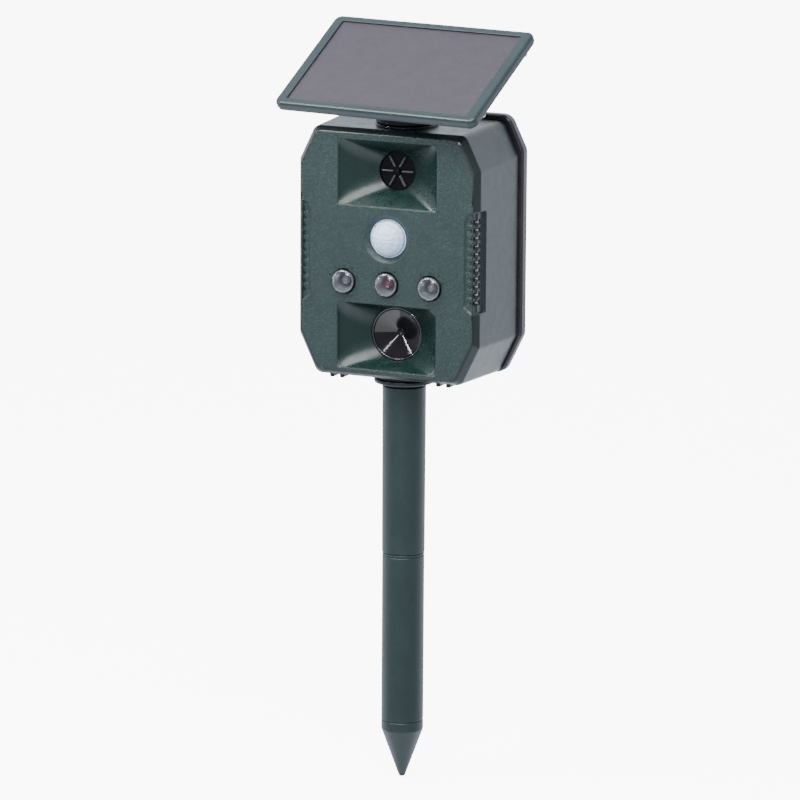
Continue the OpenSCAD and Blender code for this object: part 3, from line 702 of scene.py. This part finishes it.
def horn(shape, sizes):
    """Walls of one horn with a small fillet at its mouth, and its short round throat; past the fillet
    the walls carry a darker green as painted shade.
    """
    depth = THROAT_Y - FACE_Y
    rings = 31
    levels = [(horn_outline(sizes, 0, 0.5), FACE_Y),
              (horn_outline(sizes, 0, 0.24), FACE_Y + 0.06),
              (horn_outline(sizes, 0, 0.07), FACE_Y + 0.2)]
    for k in range(1, rings):
        share = k / rings
        levels.append((horn_outline(sizes, share), FACE_Y + 0.4 + (depth - 0.4) * share))
    throat = horn_outline(sizes, 0.998)
    levels += [(throat, THROAT_Y), (throat, FLANGE_Y)]
    shape.walls(levels[:4], paint=0)
    # paint 2 darkens the horn walls: painted shade
    shape.walls(levels[3:], paint=2)
    return levels[0][0]


def ray_marks(x):
    """Five short slots around the upper half of a light."""
    slots = []
    for angle in (20, 55, 90, 125, 160):
        slots.append(rotated(rectangle(8.75, 0, 0.65, 0.25, 0.24, 2), angle, (x, LED_Z)))
    return slots


def round_hole(shape, x, z, levels, paint):
    """Round hole through (radius, y) levels; gives back the loop it leaves in the face."""
    loops = [(circle(x, z, radius), y) for radius, y in levels]
    shape.walls(loops, paint=paint)
    return loops[0][0]


def front_housing():
    shape = Shape()
    section = housing_section()
    rows = []
    for grow, y in section:
        rows.append(shape.ring(with_grip_stops(body_outline(grow)), y))
    loop = with_grip_stops(body_outline(0))
    for i, point in enumerate(loop):
        j = (i + 1) % len(loop)
        if point.y in PATCH_Z and loop[j].y in PATCH_Z:
            continue
        for (a, b), level in zip(zip(rows, rows[1:]), section[1:]):
            paint = 0 if level.y < FACE_Y + GRAIN_EDGE else 1
            shape.face((a[i], a[j], b[j], b[i]), paint)
    for side in (1, -1):
        grip_patch(shape, section, side)
    holes = [horn(shape, UPPER_HORN), horn(shape, LOWER_HORN)]
    ring = [(SENSOR_RING_R + 0.5, FACE_Y), (SENSOR_RING_R + 0.15, FACE_Y + 0.1),
            (SENSOR_RING_R - 0.15, FACE_Y + 0.4), (SENSOR_R + 0.75, INSIDE_Y - 0.35),
            (SENSOR_R + 0.55, INSIDE_Y)]
    holes.append(round_hole(shape, 0, SENSOR_Z, ring, 0))
    for x in (-LED_PITCH, 0, LED_PITCH):
        seat = [(LED_R + 0.55, FACE_Y), (LED_R + 0.25, FACE_Y + 0.1), (LED_R + 0.1, FACE_Y + 0.35),
                (LED_R + 0.1, INSIDE_Y)]
        # The seat walls and the ray-mark slots take paint 2, the darker green of painted shade.
        holes.append(round_hole(shape, x, LED_Z, seat, 2))
        for slot in ray_marks(x):
            shape.walls([(slot, FACE_Y), (slot, FACE_Y + 0.3)], paint=2, floor=2)
            holes.append(slot)
    shape.plate([face_outline(section)] + holes, FACE_Y, paint=0)
    skin("front_housing", shape, [face_green, side_green, recess_shade_green], "housing_plastic",
         shell=SHELL_T)


def housing_pads():
    """Four small feet under the front edge, and the round seats of the stake and the hinge."""
    shape = Shape()
    for x in (-34.4, -28.5, 28.5, 34.4):
        foot = rectangle(x, BODY_BOTTOM - 0.5, 1.25, 1.5, 0.6, 3)
        shape.prism(foot, FACE_Y + 5, FACE_Y + 16, 0.4)
    low, high, seat_r = SOCKET_TOP, BODY_BOTTOM + 1, 15
    shape.spin(rounded_line([(0, low, 0), (seat_r, low, 0.4), (seat_r, high, 0), (0, high, 0)], 3))
    low, seat_r, bore_r = BODY_TOP - 2, 17.6, 5.1
    seat = rounded_line([
        (bore_r, low, 0), (seat_r, low, 0), (seat_r, SEAT_Z, 0.5), (bore_r, SEAT_Z, 0)
    ], 3, closed=True)
    shape.spin(seat, Matrix.Translation((0, HINGE_Y, 0)), closed=True)
    piece("housing_pads", shape, "head", [side_green], (), "housing_plastic")


# ---------- rear cover ----------

def cover_section():
    return rounded_line([
        (-5, COVER_Y, 0), (-0.8, COVER_Y, 0.5), (0, COVER_Y + 1.2, 0.9), (0, BACK_Y, 2.1),
        (-4, BACK_Y, 0)
    ], 6)[:-1]


def sunk(shape, outline, depth, soft):
    """Pocket in the back of the cover, with a softened rim; gives back the loop it leaves there."""
    top = BACK_Y
    rim = inset(outline, -soft)
    levels = [(rim, top), (inset(outline, -soft * 0.3), top - soft * 0.3), (outline, top - soft),
              (outline, top - depth)]
    shape.walls(levels, floor=0)
    return rim


def rear_cover():
    """Cover with its screw wells, pockets for the controls and printed dial marks."""
    shape = Shape()
    section = cover_section()
    rows = [shape.ring(cover_outline(grow), y) for grow, y in section]
    shape.loft(rows)
    holes = []
    for side in (1, -1):
        for x, z in HOUSING_SCREWS:
            holes.append(sunk(shape, circle(side * x, z, 3.2, 32), depth=2, soft=0.25))
        holes.append(sunk(shape, circle(side * DIAL_X, DIAL_Z, DIAL_R + 1.2), depth=4.4, soft=0.35))
    door = rectangle(0, DOOR_Z, DOOR_HALF_W, DOOR_HALF_H, 1.5)
    slot = rectangle(SWITCH_X, CONTROL_Z, 5.5, 2.3, 0.8)
    port = rectangle(PORT_X, CONTROL_Z + 0.6, 8, 6.1, 1.5)
    holes.append(sunk(shape, door, depth=1.8, soft=0.25))
    holes.append(sunk(shape, slot, depth=5, soft=0.3))
    holes.append(sunk(shape, port, depth=1.2, soft=0.25))
    for side in (1, -1):
        for angle in range(-135, 136, 27):
            mark = rectangle(12.7, 0, 0.9, 0.3, 0.29, 2)
            mark = rotated(mark, 90 - angle, (side * DIAL_X, DIAL_Z))
            shape.walls([(mark, BACK_Y), (mark, BACK_Y - 0.3)], paint=1, floor=1)
            holes.append(mark)
    shape.plate([cover_outline(section[-1].x)] + holes, BACK_Y)
    shape.plate([cover_outline(section[0].x), inset(cover_outline(-5), 2)], COVER_Y)
    skin("rear_cover", shape, [rear_black, mark_white], "rear_plastic")


def cross_screw(shape, place, radius, height, shank):
    """Pan-head screw with a cross recess, head upwards; shank is its (radius, length)."""
    arm, half = radius * 0.62, radius * 0.14
    cross = []
    for quarter in range(4):
        cross += rotated(((half, half), (half, arm), (-half, arm)), -90 * quarter)
    rim = circle(0, 0, radius * 0.82, 32)
    shape.plate([rim, cross], height, place)
    deep = [p * 0.5 for p in cross]
    shape.walls([(cross, height), (deep, height - radius * 0.45)], place, 0, floor=0)
    side = [(radius * 0.82, height), (radius * 0.94, height * 0.86), (radius, height * 0.55),
            (radius, 0), (shank[0], 0), (shank[0], -shank[1]), (0, -shank[1])]
    shape.spin(side, place, 32)


def facing_back(x, y, z):
    """Turns an upward axis to +Y at that place."""
    return Matrix.Translation((x, y, z)) @ Matrix.Rotation(-pi / 2, 4, "X")


def cover_screws():
    shape = Shape()
    for side in (1, -1):
        for x, z in HOUSING_SCREWS:
            at = facing_back(side * x, BACK_Y - 2, z)
            cross_screw(shape, at, radius=2.8, height=1.6, shank=(1.5, 17.5))
    skin("housing_screws", shape, [steel], "screw_steel")
    shape = Shape()
    for side in (1, -1):
        at = facing_back(side * DOOR_SCREW_X, BACK_Y - 0.2, DOOR_Z + DOOR_HALF_H - 4)
        cross_screw(shape, at, radius=2.1, height=1.0, shank=(1.2, 4.8))
    skin("battery_cover_screws", shape, [steel], "screw_steel")


def battery_cover():
    shape = Shape()
    outline = rectangle(0, DOOR_Z, DOOR_HALF_W - 0.3, DOOR_HALF_H - 0.3, 1.3)
    shape.prism(outline, BACK_Y - 1.8, BACK_Y - 0.2, 0.35)
    for k in range(6):
        ridge = rectangle(0, 114 + 2.6 * k, 9, 0.6, 0.55, 3)
        shape.prism(ridge, BACK_Y - 0.8, BACK_Y + 0.2, 0.3)
    skin("battery_cover", shape, [rear_black], "rear_plastic")


def dial(name, x, body):
    shape = Shape()
    ribbed = []
    steps, ribs = 144, 36
    for i in range(steps):
        angle = 2 * pi * i / steps
        radius = DIAL_R - 0.3 * (0.5 - 0.5 * cos(ribs * angle))
        ribbed.append(Vector((x + radius * cos(angle), DIAL_Z + radius * sin(angle))))
    shape.prism(ribbed, BACK_Y - 4, BACK_Y - 1, 0.4)
    bar = rectangle(x, DIAL_Z, 1.6, DIAL_R - 1, 1.5)
    shape.prism(bar, BACK_Y - 1.5, BACK_Y + 1.6, 0.5)
    shaft = [(DIAL_SHAFT_R, BACK_Y - 3.5), (DIAL_SHAFT_R, 25.1), (0, 25.1)]
    shape.spin(shaft, along_y(x, DIAL_Z), 32)
    pointer = rectangle(x, DIAL_Z + 4.2, 0.35, 3.2, 0.3, 2)
    shape.prism(pointer, BACK_Y + 1.3, BACK_Y + 1.66, 0.05, paint=1)
    skin(name, shape, [knob_black, mark_white], "knob_plastic", body)


def power_switch():
    shape = Shape()
    low = SWITCH_X - 4.5
    base = rectangle(low + 2.5, CONTROL_Z, 2.5, 1.4, 0.3)
    shape.prism(base, 26, BACK_Y + 0.3, 0.2)
    for k in range(4):
        rib = rectangle(low + 0.75 + 1.17 * k, CONTROL_Z, 0.35, 1.3, 0.25, 2)
        shape.prism(rib, BACK_Y, BACK_Y + 1, 0.2)
    skin("power_switch", shape, [knob_black], "knob_plastic", "switch_button")


def port_cover():
    shape = Shape()
    flap = rectangle(PORT_X, CONTROL_Z + 0.15, 7.6, 5.25, 1.2)
    shape.prism(flap, BACK_Y - 0.9, BACK_Y + 0.6, 0.35)
    lip = rectangle(PORT_X, CONTROL_Z - 4, 3, 0.6, 0.55, 3)
    shape.prism(lip, BACK_Y + 0.2, BACK_Y + 0.9, 0.3)
    roll_r, left, right = 0.9, PORT_X - 7.6, PORT_X + 7.6
    roll = rounded_line([(0, left, 0), (roll_r, left, 0.3), (roll_r, right, 0.3), (0, right, 0)], 3)
    shape.spin(roll, along_x(BACK_Y, CONTROL_Z + 5.4), 24)
    skin("port_cover", shape, [soft_black], "seal_rubber", "port_flap")


# ---------- speakers, sensor and lights ----------

def tweeter_fins():
    """Hub and plate with six raised fins, one black moulding; the fins get a lighter grey copy of the
    black as a painted highlight.
    """
    z, plate_r, fins = UPPER_HORN["z"], UPPER_HORN["throat_r"] - 0.1, 6
    hub_r, hub_y, plate_y = 1.7, THROAT_Y - 1, THROAT_Y + 1.2
    line = rounded_line([
        (0, hub_y, 0), (hub_r, hub_y, 0.5), (hub_r, plate_y, 0.3), (plate_r, plate_y, 0.2),
        (plate_r, FLANGE_Y, 0.1), (0, FLANGE_Y, 0)
    ], 3)
    shape = turned(line, along_y(0, z), 64)
    for k in range(fins):
        fin = rotated(rectangle(5.95, 0, 3.35, 0.42, 0.4, 3), 360 / fins * k)
        # paint 1 gives the fins the lighter grey of the painted highlight
        shape.prism(fin, THROAT_Y - 0.6, THROAT_Y + 1.4, 0.3, along_y(0, z), 1)
    skin("tweeter_fins", shape, [fin_black, fin_painted_highlight], "black_plastic")


def lower_speaker():
    """Glossy cone with a small dust cap, in its ring; gives back the cone."""
    at = along_y(0, LOWER_HORN["z"])
    rim_y = THROAT_Y + 0.9
    front = rounded_line([
        (CONE_R, rim_y, 0), (CONE_R - 0.5, rim_y - 0.3, 0.2), (1.9, FLANGE_Y + 3.2, 0.3),
        (1.5, FLANGE_Y + 2.5, 0.3), (0, FLANGE_Y + 2.3, 0)
    ])
    back = rounded_line([(0, FLANGE_Y + 4, 0), (1.5, FLANGE_Y + 4, 0.3), (CONE_R, rim_y, 0)], 2)
    shape = turned(front, at)
    shape.spin(back, at)
    made = skin("speaker_cone", shape, [cone_black], "gloss_black")
    ring_r, ring_y, ring_back = LOWER_HORN["throat_r"] - 0.05, THROAT_Y + 0.25, THROAT_Y + 1.4
    corners = [(CONE_R, ring_y), (ring_r, ring_y), (ring_r, ring_back), (CONE_R, ring_back)]
    ring = softened(corners, 0.4, 3)
    skin("speaker_bezel", turned(ring, at, closed=True), [dark_ring], "bright_ring")
    return made


def motion_lens():
    """Milky dome whose rings of small facets bundle heat onto the sensor."""
    ball = (SENSOR_R ** 2 + SENSOR_H ** 2) / (2 * SENSOR_H)
    reach = asin(SENSOR_R / ball)
    bands = ((0.0, 0.2, 6), (0.2, 0.48, 10), (0.48, 0.78, 14), (0.78, 1.0, 18))
    place = along_y(0, SENSOR_Z)
    turns, rings, inner_rings = 180, 40, 12
    shape = Shape()
    rows = []
    for k in range(rings + 1):
        share = k / rings
        low, high, count = [b for b in bands if share <= b[1]][0]
        across = 2 * ((share - low) / (high - low)) - 1
        row = []
        for i in range(turns):
            angle = 2 * pi * i / turns
            around = 2 * ((angle * count / (2 * pi)) % 1) - 1
            dip = FACET_DEPTH * (1 - 0.5 * (across ** 2 + around ** 2)) * (share < 0.98)
            length = ball + dip - FACET_DEPTH
            r = length * sin(reach * share)
            y = INSIDE_Y - SENSOR_H + ball - length * cos(reach * share)
            row.append((r * cos(angle), r * sin(angle), y))
        rows.append(shape.row(row[:1] if k == 0 else row, place))
    shape.loft(rows)
    flange_r, flange_back, bore_r = SENSOR_R + 2, INSIDE_Y + 1.2, SENSOR_R - 1
    edge = [(SENSOR_R, INSIDE_Y), (flange_r, INSIDE_Y), (flange_r, flange_back), (bore_r, flange_back),
            (bore_r, INSIDE_Y)]
    shape.spin(edge, place, turns)
    inner = []
    for k in range(inner_rings + 1):
        share = k / inner_rings
        inner.append((0.9 * ball * sin(reach * share),
                      INSIDE_Y - (SENSOR_H - 1) * cos(pi / 2 * share)))
    shape.spin(inner, place, turns)
    skin("motion_lens", shape, [lens_white], "lens_white", sharp=60)


def quarter_round(radius, height, base, steps=14):
    """Half the section of a dome: (radius, y) points from its front tip to its rim."""
    turns = [pi / 2 * k / steps for k in range(steps + 1)]
    return [(radius * sin(a), base - height * cos(a)) for a in turns]


def light(name, x, bulb, bulb_slot):
    """Domed clear lens on a short wall, a bright cup behind it, and a bulb with two legs."""
    base = FACE_Y - LED_WALL
    neck_y, cup_back = FACE_Y + 4.4, FACE_Y + 7.5
    wall_r, flange_r, flange_back, bore_r = LED_R - 0.1, LED_R + 1, INSIDE_Y + 1, LED_R - 0.4
    outer = quarter_round(wall_r, LED_DOME_H, base)
    outer += [(wall_r, FACE_Y + 0.4), (LED_R, FACE_Y + 0.6), (LED_R, INSIDE_Y), (flange_r, INSIDE_Y),
              (flange_r, flange_back), (bore_r, flange_back)]
    inner = quarter_round(bore_r, LED_DOME_H - 0.5, base)
    at = along_y(x, LED_Z)
    skin(f"led_lens_{name}", turned(outer + inner[::-1], at), [led_clear], "clear_lens")
    cup = rounded_line([
        (CUP_R, base + 0.3, 0), (4.8, FACE_Y + 0.9, 2), (3.3, FACE_Y + 3.6, 1),
        (CUP_NECK_R, neck_y, 0.3), (CUP_NECK_R, cup_back, 0)
    ], 6)
    wall, lip = CUP_R + 0.1, CUP_R + 0.6
    rim = rounded_line([
        (CUP_NECK_R, cup_back, 0), (wall, cup_back, 0.2), (wall, base + 1, 0.1), (lip, base + 0.8, 0.1),
        (lip, base + 0.3, 0.1), (CUP_R, base + 0.3, 0)
    ], 3)
    shape = turned(cup, at)
    shape.spin(rim, at, paint=1)
    skin(f"led_reflector_{name}", shape, [chrome, rim_grey], "reflector_chrome")
    dome = quarter_round(BULB_R, BULB_R, FACE_Y + 4, 8)
    shape = turned(dome + [(BULB_R, FACE_Y + 9), (0, FACE_Y + 9)], at, 32)
    for side in (-1.27, 1.27):
        leg = rectangle(x + side, LED_Z, 0.25, 0.25, 0.1, 1)
        shape.prism(leg, FACE_Y + 8.9, -13, 0.05, paint=1)
    skin(f"led_{name}", shape, [bulb, steel], bulb_slot)


# ---------- hinge ----------

def ear_arc(way, z=0.0):
    """Half circle of a hinge ear in Y and Z; way is 1 for the top half and -1 for the bottom half."""
    turns = [pi * k / 20 for k in range(21)]
    return [Vector((way * EAR_R * cos(a), z + way * EAR_R * sin(a))) for a in turns]


def hinge():
    out = KNUCKLE_HALF_W + 0.3 + EAR_T
    across = at_swivel() @ along_x(0, HINGE_Z)
    low, high = SEAT_Z + 0.3, SEAT_Z + 3.5
    line = rounded_line([
        (0, SHAFT_LOW, 0), (SHAFT_R, SHAFT_LOW, 0.4), (SHAFT_R, low, 0.2), (SWIVEL_R, low, 0.5),
        (SWIVEL_R, high, 1), (0, high, 0)
    ])
    shape = turned(line, at_swivel())
    foot_half, foot_z = EAR_R + 1.2, high - 0.6
    ear = [Vector((-foot_half, foot_z)), Vector((foot_half, foot_z))] + ear_arc(1, HINGE_Z)
    for side in (1, -1):
        ends = sorted((side * (out - EAR_T), side * out))
        shape.prism(ear, ends[0], ends[1], 0.6, at_swivel() @ along_x())
    skin("swivel_base", shape, [hinge_black], "black_plastic", "swivel")
    head_r, head_end, bolt_end = 4.3, -out - 2.6, out + 4
    rod = rounded_line([
        (0, head_end, 0), (head_r, head_end, 0.9), (head_r, -out, 0.2), (BOLT_R, -out, 0),
        (BOLT_R, bolt_end, 0.5), (0, bolt_end, 0)
    ])
    skin("hinge_bolt", turned(rod, across, 48), [steel], "dark_bolt", "swivel")
    shape = Shape()
    hexagon = softened(circle(0, 0, 4.6, 6), 0.3, 2)
    shape.prism(hexagon, out + 0.02, out + 3, 0.35, across)
    skin("hinge_nut", shape, [steel], "dark_bolt", "swivel")


# ---------- solar panel ----------

def panel_loop(distance, corner):
    """Rounded rectangle that far inside the panel's edge; past the rims, the wider sides count."""
    wider = SIDE_RIM_W - RIM_W if distance > RIM_W / 2 else 0
    half_w, half_d = PANEL_W / 2 - distance - wider, PANEL_D / 2 - distance
    return rectangle(0, PANEL_CENTRE_Y, half_w, half_d, corner, 8)


def panel():
    base = PANEL_BACK_Z + PANEL_BACK_T
    top = base + FRAME_T
    cell_top = top - CELL_RECESS
    shape = Shape()
    shape.prism(panel_loop(0.5, PANEL_CORNER_R - 0.5), PANEL_BACK_Z, base, 0.5, at_panel())
    root_half, root_z = EAR_R + 1.5, PANEL_BACK_Z + 0.4
    knuckle = ear_arc(-1) + [Vector((root_half, root_z)), Vector((-root_half, root_z))]
    shape.prism(knuckle, -KNUCKLE_HALF_W, KNUCKLE_HALF_W, 0.4, at_panel() @ along_x())
    skin("panel_back", shape, [frame_green], "panel_plastic", "panel")
    line = rounded_line([
        (4, base, 0), (0, base, 0.3), (0, top, 1.7), (RIM_W, top, 0.35), (RIM_W, cell_top, 0.05),
        (4, cell_top, 0)
    ], 5, closed=True)
    shape = Shape()
    rows = []
    for distance, height in line:
        loop = panel_loop(distance, max(PANEL_CORNER_R - distance, 0.5))
        rows.append(shape.ring(loop, height, at_panel()))
    shape.loft(rows + rows[:1])
    skin("panel_frame", shape, [frame_green], "panel_plastic", "panel")
    shape = Shape()
    shape.prism(panel_loop(RIM_W - 0.8, 0.5), cell_top - 2, cell_top - 0.02, 0.1, at_panel())
    skin("solar_cell", shape, [film], "solar_film", "panel")
    shape = Shape()
    for x in (-1, 1):
        for y in (-1, 1):
            spot = (x * (PANEL_W / 2 - 2.4), PANEL_CENTRE_Y + y * PANEL_D / 3, PANEL_BACK_Z)
            at = at_panel() @ Matrix.Translation(spot) @ Matrix.Rotation(pi, 4, "X")
            cross_screw(shape, at, radius=1.8, height=0.95, shank=(1.2, 3.6))
    skin("panel_screws", shape, [steel], "screw_steel", "panel")


# ---------- CAD pieces that keep their own meshes ----------

def dress(finish, slot, *nodes):
    """Gives CAD nodes a finish and slightly softened edges."""
    for node in nodes:
        cad = frame["nodes"][node]
        cad.data.materials.clear()
        cad.data.materials.append(finish)
        soft = cad.modifiers.new("soft", "BEVEL")
        soft.width = 0.15 * MM
        soft.segments = 2
        soft.limit_method = "ANGLE"
        soft.angle_limit = radians(50)
        soft.harden_normals = True


# ---------- stage ----------

def away_from_camera():
    """Level direction from the camera towards the object."""
    azimuth = radians(CAMERA_AZIMUTH)
    return Vector((-sin(azimuth), cos(azimuth), 0))


def world():
    """Soft white room: dim in front of the object, brighter behind it and below it."""
    made = bpy.data.worlds.new("room")
    bpy.context.scene.world = made
    made.use_nodes = True
    tree = made.node_tree
    direction = tree.nodes.new("ShaderNodeTexCoord")
    levels = []
    for way, start, end, dim, bright in ((away_from_camera(), -0.35, 0.6, 0.6, 1.6),
                                         (Vector((0, 0, -1)), 0.35, 0.75, 0.0, 1.3)):
        reach = tree.nodes.new("ShaderNodeVectorMath")
        reach.operation = "DOT_PRODUCT"
        reach.inputs[1].default_value = way
        tree.links.new(direction.outputs["Generated"], reach.inputs[0])
        level = tree.nodes.new("ShaderNodeMapRange")
        level.interpolation_type = "SMOOTHSTEP"
        for socket, value in zip(RANGE_SOCKETS, (start, end, dim, bright)):
            level.inputs[socket].default_value = value
        tree.links.new(reach.outputs["Value"], level.inputs["Value"])
        levels.append(level.outputs["Result"])
    total = tree.nodes.new("ShaderNodeMath")
    for level, socket in zip(levels, total.inputs):
        tree.links.new(level, socket)
    background = tree.nodes["Background"]
    background.inputs["Color"].default_value = (0.88, 0.95, 1.06, 1)
    tree.links.new(total.outputs[0], background.inputs["Strength"])


def floor():
    """Wide pale floor, lit evenly like white paper; it isn't mirrored in the object."""
    mesh = bpy.data.meshes.new("floor")
    half = 25.0
    z = TIP_Z * MM - 0.0005
    mesh.from_pydata([(-half, -half, z), (half, -half, z), (half, half, z), (-half, half, z)],
                     [], [(0, 1, 2, 3)])
    made = added("floor", mesh)
    made.visible_glossy = False
    made.visible_diffuse = False
    made.visible_transmission = False
    made.visible_shadow = False
    paper = Finish("paper", 0.9)
    paper.colour((0.80, 0.80, 0.80))
    paper.surface.inputs["Emission Color"].default_value = (1, 1, 1, 1)
    paper.surface.inputs["Emission Strength"].default_value = 8.0
    mesh.materials.append(paper.material)


def softbox(name, azimuth, elevation, distance, size, power):
    """Square area light aimed at the middle of the housing; azimuth 0 is in front, 90 at the right."""
    a, e = radians(azimuth), radians(elevation)
    lamp = bpy.data.lights.new(name, "AREA")
    lamp.size = size
    lamp.energy = power
    made = added(name, lamp)
    towards = Vector((sin(a) * cos(e), -cos(a) * cos(e), sin(e)))
    made.location = Vector((0, 0, 0.17)) + towards * distance
    made.rotation_mode = "QUATERNION"
    made.rotation_quaternion = (-towards).to_track_quat("-Z", "Y")
    return made


def glow_on(lit, azimuth, elevation, distance, size, power):
    """Softbox that lights one object only."""
    lamp = softbox(lit.name + "_glow", azimuth, elevation, distance, size, power)
    receivers = bpy.data.collections.new(lit.name + "_receives_glow")
    receivers.objects.link(lit)
    lamp.light_linking.receiver_collection = receivers


def camera():
    azimuth, elevation, roll = (radians(v) for v in
                                (CAMERA_AZIMUTH, CAMERA_ELEVATION, CAMERA_ROLL))
    forward = -Vector((sin(azimuth) * cos(elevation),
                       -cos(azimuth) * cos(elevation), sin(elevation)))
    level = Vector((cos(azimuth), sin(azimuth), 0))
    upright = level.cross(forward)
    right = level * cos(roll) + upright * sin(roll)
    up = upright * cos(roll) - level * sin(roll)
    place = (Vector((0, 0, CAMERA_AIM_Z)) + level * CAMERA_SHIFT - forward * CAMERA_DISTANCE) * MM
    lens = bpy.data.cameras.new("camera")
    lens.lens = CAMERA_LENS
    lens.clip_end = 100
    made = added("camera", lens)
    columns = Matrix((right, up, -forward)).transposed()
    made.matrix_world = Matrix.Translation(place) @ columns.to_4x4()
    bpy.context.scene.camera = made


def clear_start_scene():
    for leftover in list(bpy.data.objects):
        bpy.data.objects.remove(leftover)


clear_start_scene()
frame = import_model()

tube("lower_tube", LOWER_END_Z, 0, LOWER_R, LOWER_R, "ground_stake")
tube("upper_tube", COUPLER_T, UPPER_TOP, UPPER_R - 0.2, UPPER_R, "upper_stake")
spike()
coupler()
socket()
front_housing()
housing_pads()
rear_cover()
cover_screws()
battery_cover()
dial("frequency_dial", -DIAL_X, "frequency_knob")
dial("sensitivity_dial", DIAL_X, "sensitivity_knob")
power_switch()
port_cover()
tweeter_fins()
glossy_cone = lower_speaker()
motion_lens()
light("left", -LED_PITCH, bulb_clear, "led_clear")
light("middle", 0, bulb_red, "led_red")
light("right", LED_PITCH, bulb_clear, "led_clear")
hinge()
panel()
dress(steel, "screw_steel", "socket_screws", "speaker_screws", "main_board_screws",
      "control_board_screws", "swivel_washer", "swivel_screw")
dress(steel, "contact_metal", "frequency_potentiometer", "sensitivity_potentiometer",
      "switch_housing", "charge_socket", "battery_contacts")
dress(steel, "sensor_can", "motion_sensor")
dress(soft_black, "seal_rubber", "housing_seal")
dress(knob_black, "black_plastic", "upper_tweeter", "lower_tweeter", "battery_holder")
dress(board, "board_green", "main_circuit_board", "control_board")
dress(cell_wrap, "cell_wrap", "batteries")

world()
floor()
softbox("key", 24, 52, 1.6, 1.15, 40)
softbox("left_top", -45, 51, 0.75, 0.35, 7)
softbox("left_strip", -56, 15, 1.8, 0.10, 5.5)
softbox("front_strip", 6, 25, 1.8, 0.17, 10)
glow_on(glossy_cone, 8.6, -45, 1.0, 1.25, 12)
camera()
